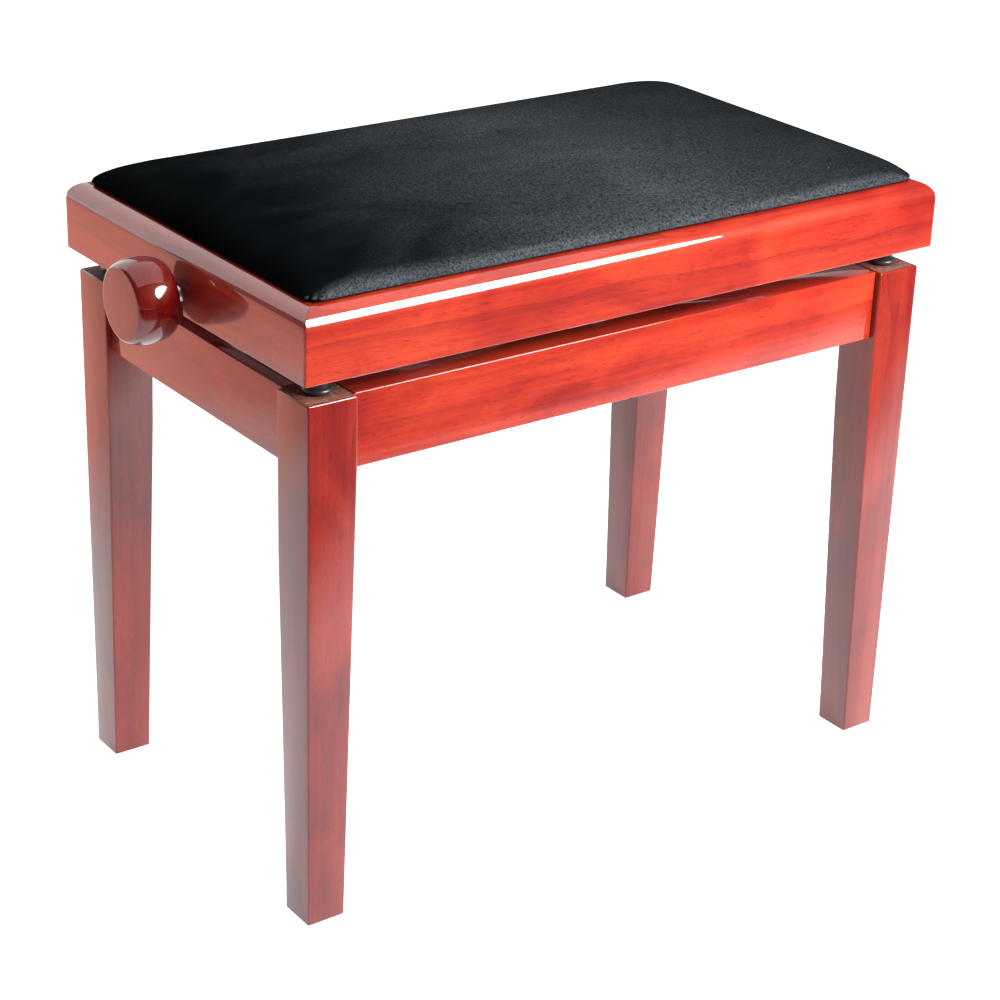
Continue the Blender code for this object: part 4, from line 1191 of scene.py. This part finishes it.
spindle = turned(
    "threaded_spindle", spindle_x, spindle_radius, (1, 0, 0), (0, 0, bar_middle.z), spindle_zinc, 50.0,
)
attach(spindle, "screw")
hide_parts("spindle")

collar_radius = (collar_high.z - collar_low.z) / 2
middle_x = (collar_low.x + collar_high.x) / 2
collar = turned(
    "grooved_collar",
    (collar_low.x, collar_low.x, collar_low.x + COLLAR_RIM, middle_x - 0.001, middle_x - 0.0006,
     middle_x + 0.0006, middle_x + 0.001, collar_high.x - COLLAR_RIM, collar_high.x, collar_high.x),
    (ROD_HOLE, collar_radius - COLLAR_RIM, collar_radius, collar_radius, collar_radius - COLLAR_GROOVE,
     collar_radius - COLLAR_GROOVE, collar_radius, collar_radius, collar_radius - COLLAR_RIM, ROD_HOLE),
    (1, 0, 0), (0, 0, bar_middle.z), spindle_zinc, loop=True,
)
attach(collar, "screw")
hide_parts("thrust_collar")

low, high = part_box("spindle_bracket")
half_y, half_z = (high.y - low.y) / 2, (high.z - low.z) / 2
plate_corner = 0.003
bracket_outline = rounded_rings([(-half_y, -half_z)], [(half_y, half_z)], plate_corner, 6)[0]
bracket_holes = [(0.0, 0.0, BRACKET_HOLE)]
bracket_holes += [(side * BRACKET_SCREW_SPACING / 2, 0.0, 0.0023) for side in (-1, 1)]
bracket = punched_plate(
    "punched_bracket", bracket_outline, bracket_holes, high.x - low.x,
    ((low.x + high.x) / 2, 0, bar_middle.z), (0, 1, 0), (0, 0, 1), steel,
)
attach(bracket, "seat")
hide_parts("spindle_bracket")

ring = np.ones(48)
for side, way in (("front", -1), ("rear", 1)):
    low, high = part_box(f"bracket_screw_{side}")
    head_along, head_radii = screw_head(SCREW_HEAD_RADIUS, 0.0024)
    seat_x = high.x - 0.0038
    shank = [(low.x - seat_x, 0.0001 * ring), (low.x - seat_x + 0.004, BRACKET_SCREW_SHANK * ring)]
    shank += [(0.0, BRACKET_SCREW_SHANK * ring)]
    along = [station for station, _ in shank] + list(head_along[1:])
    radii = [radius for _, radius in shank] + list(head_radii[1:])
    screw = turned(
        f"cross_bracket_screw_{side}", along, radii, (1, 0, 0),
        (seat_x, way * BRACKET_SCREW_SPACING / 2, bar_middle.z), spindle_zinc,
    )
    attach(screw, "seat")
    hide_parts(f"bracket_screw_{side}")


# ---------------------------------------------------------------- height knob
# A turned and lacquered hardwood knob, glued on the spindle's end: a flat face, a full round
# side and a short neck.

KNOB_FACE_RADIUS = 0.0245
KNOB_DEPTH = 0.032
KNOB_NECK_RADIUS = 0.009
KNOB_BORE = 0.0063
KNOB_SOCKET_DEPTH = 0.020
# The knob's lacquer colour is multiplied by this, making it darker and redder than the rails'.
KNOB_COLOUR_FACTOR = (0.52, 0.14, 0.26)

knob_radius = (knob_high.z - knob_low.z) / 2
angle = np.linspace(0, np.pi, 49)
knob_end = knob_high.x - knob_low.x
along = np.concatenate([
    [0.0], KNOB_DEPTH * (1 - np.cos(angle)) / 2,
    [KNOB_DEPTH, knob_end, knob_end, knob_end - KNOB_SOCKET_DEPTH, knob_end - KNOB_SOCKET_DEPTH],
])
radius = np.concatenate([
    [0.0], KNOB_FACE_RADIUS + (knob_radius - KNOB_FACE_RADIUS) * np.sin(angle),
    [KNOB_NECK_RADIUS, KNOB_NECK_RADIUS, KNOB_BORE, KNOB_BORE, 0.0],
])
knob_lacquer = red_lacquer("knob_lacquer", "Z", (0.7, 0.3, 0.9), 0.3, KNOB_COLOUR_FACTOR)
knob_place = (knob_low.x, 0, spindle_z)
knob = turned("lacquered_knob", along, radius, (1, 0, 0), knob_place, knob_lacquer, 40.0, 128)
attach(knob, "screw")
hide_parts("height_knob")


low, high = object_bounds()
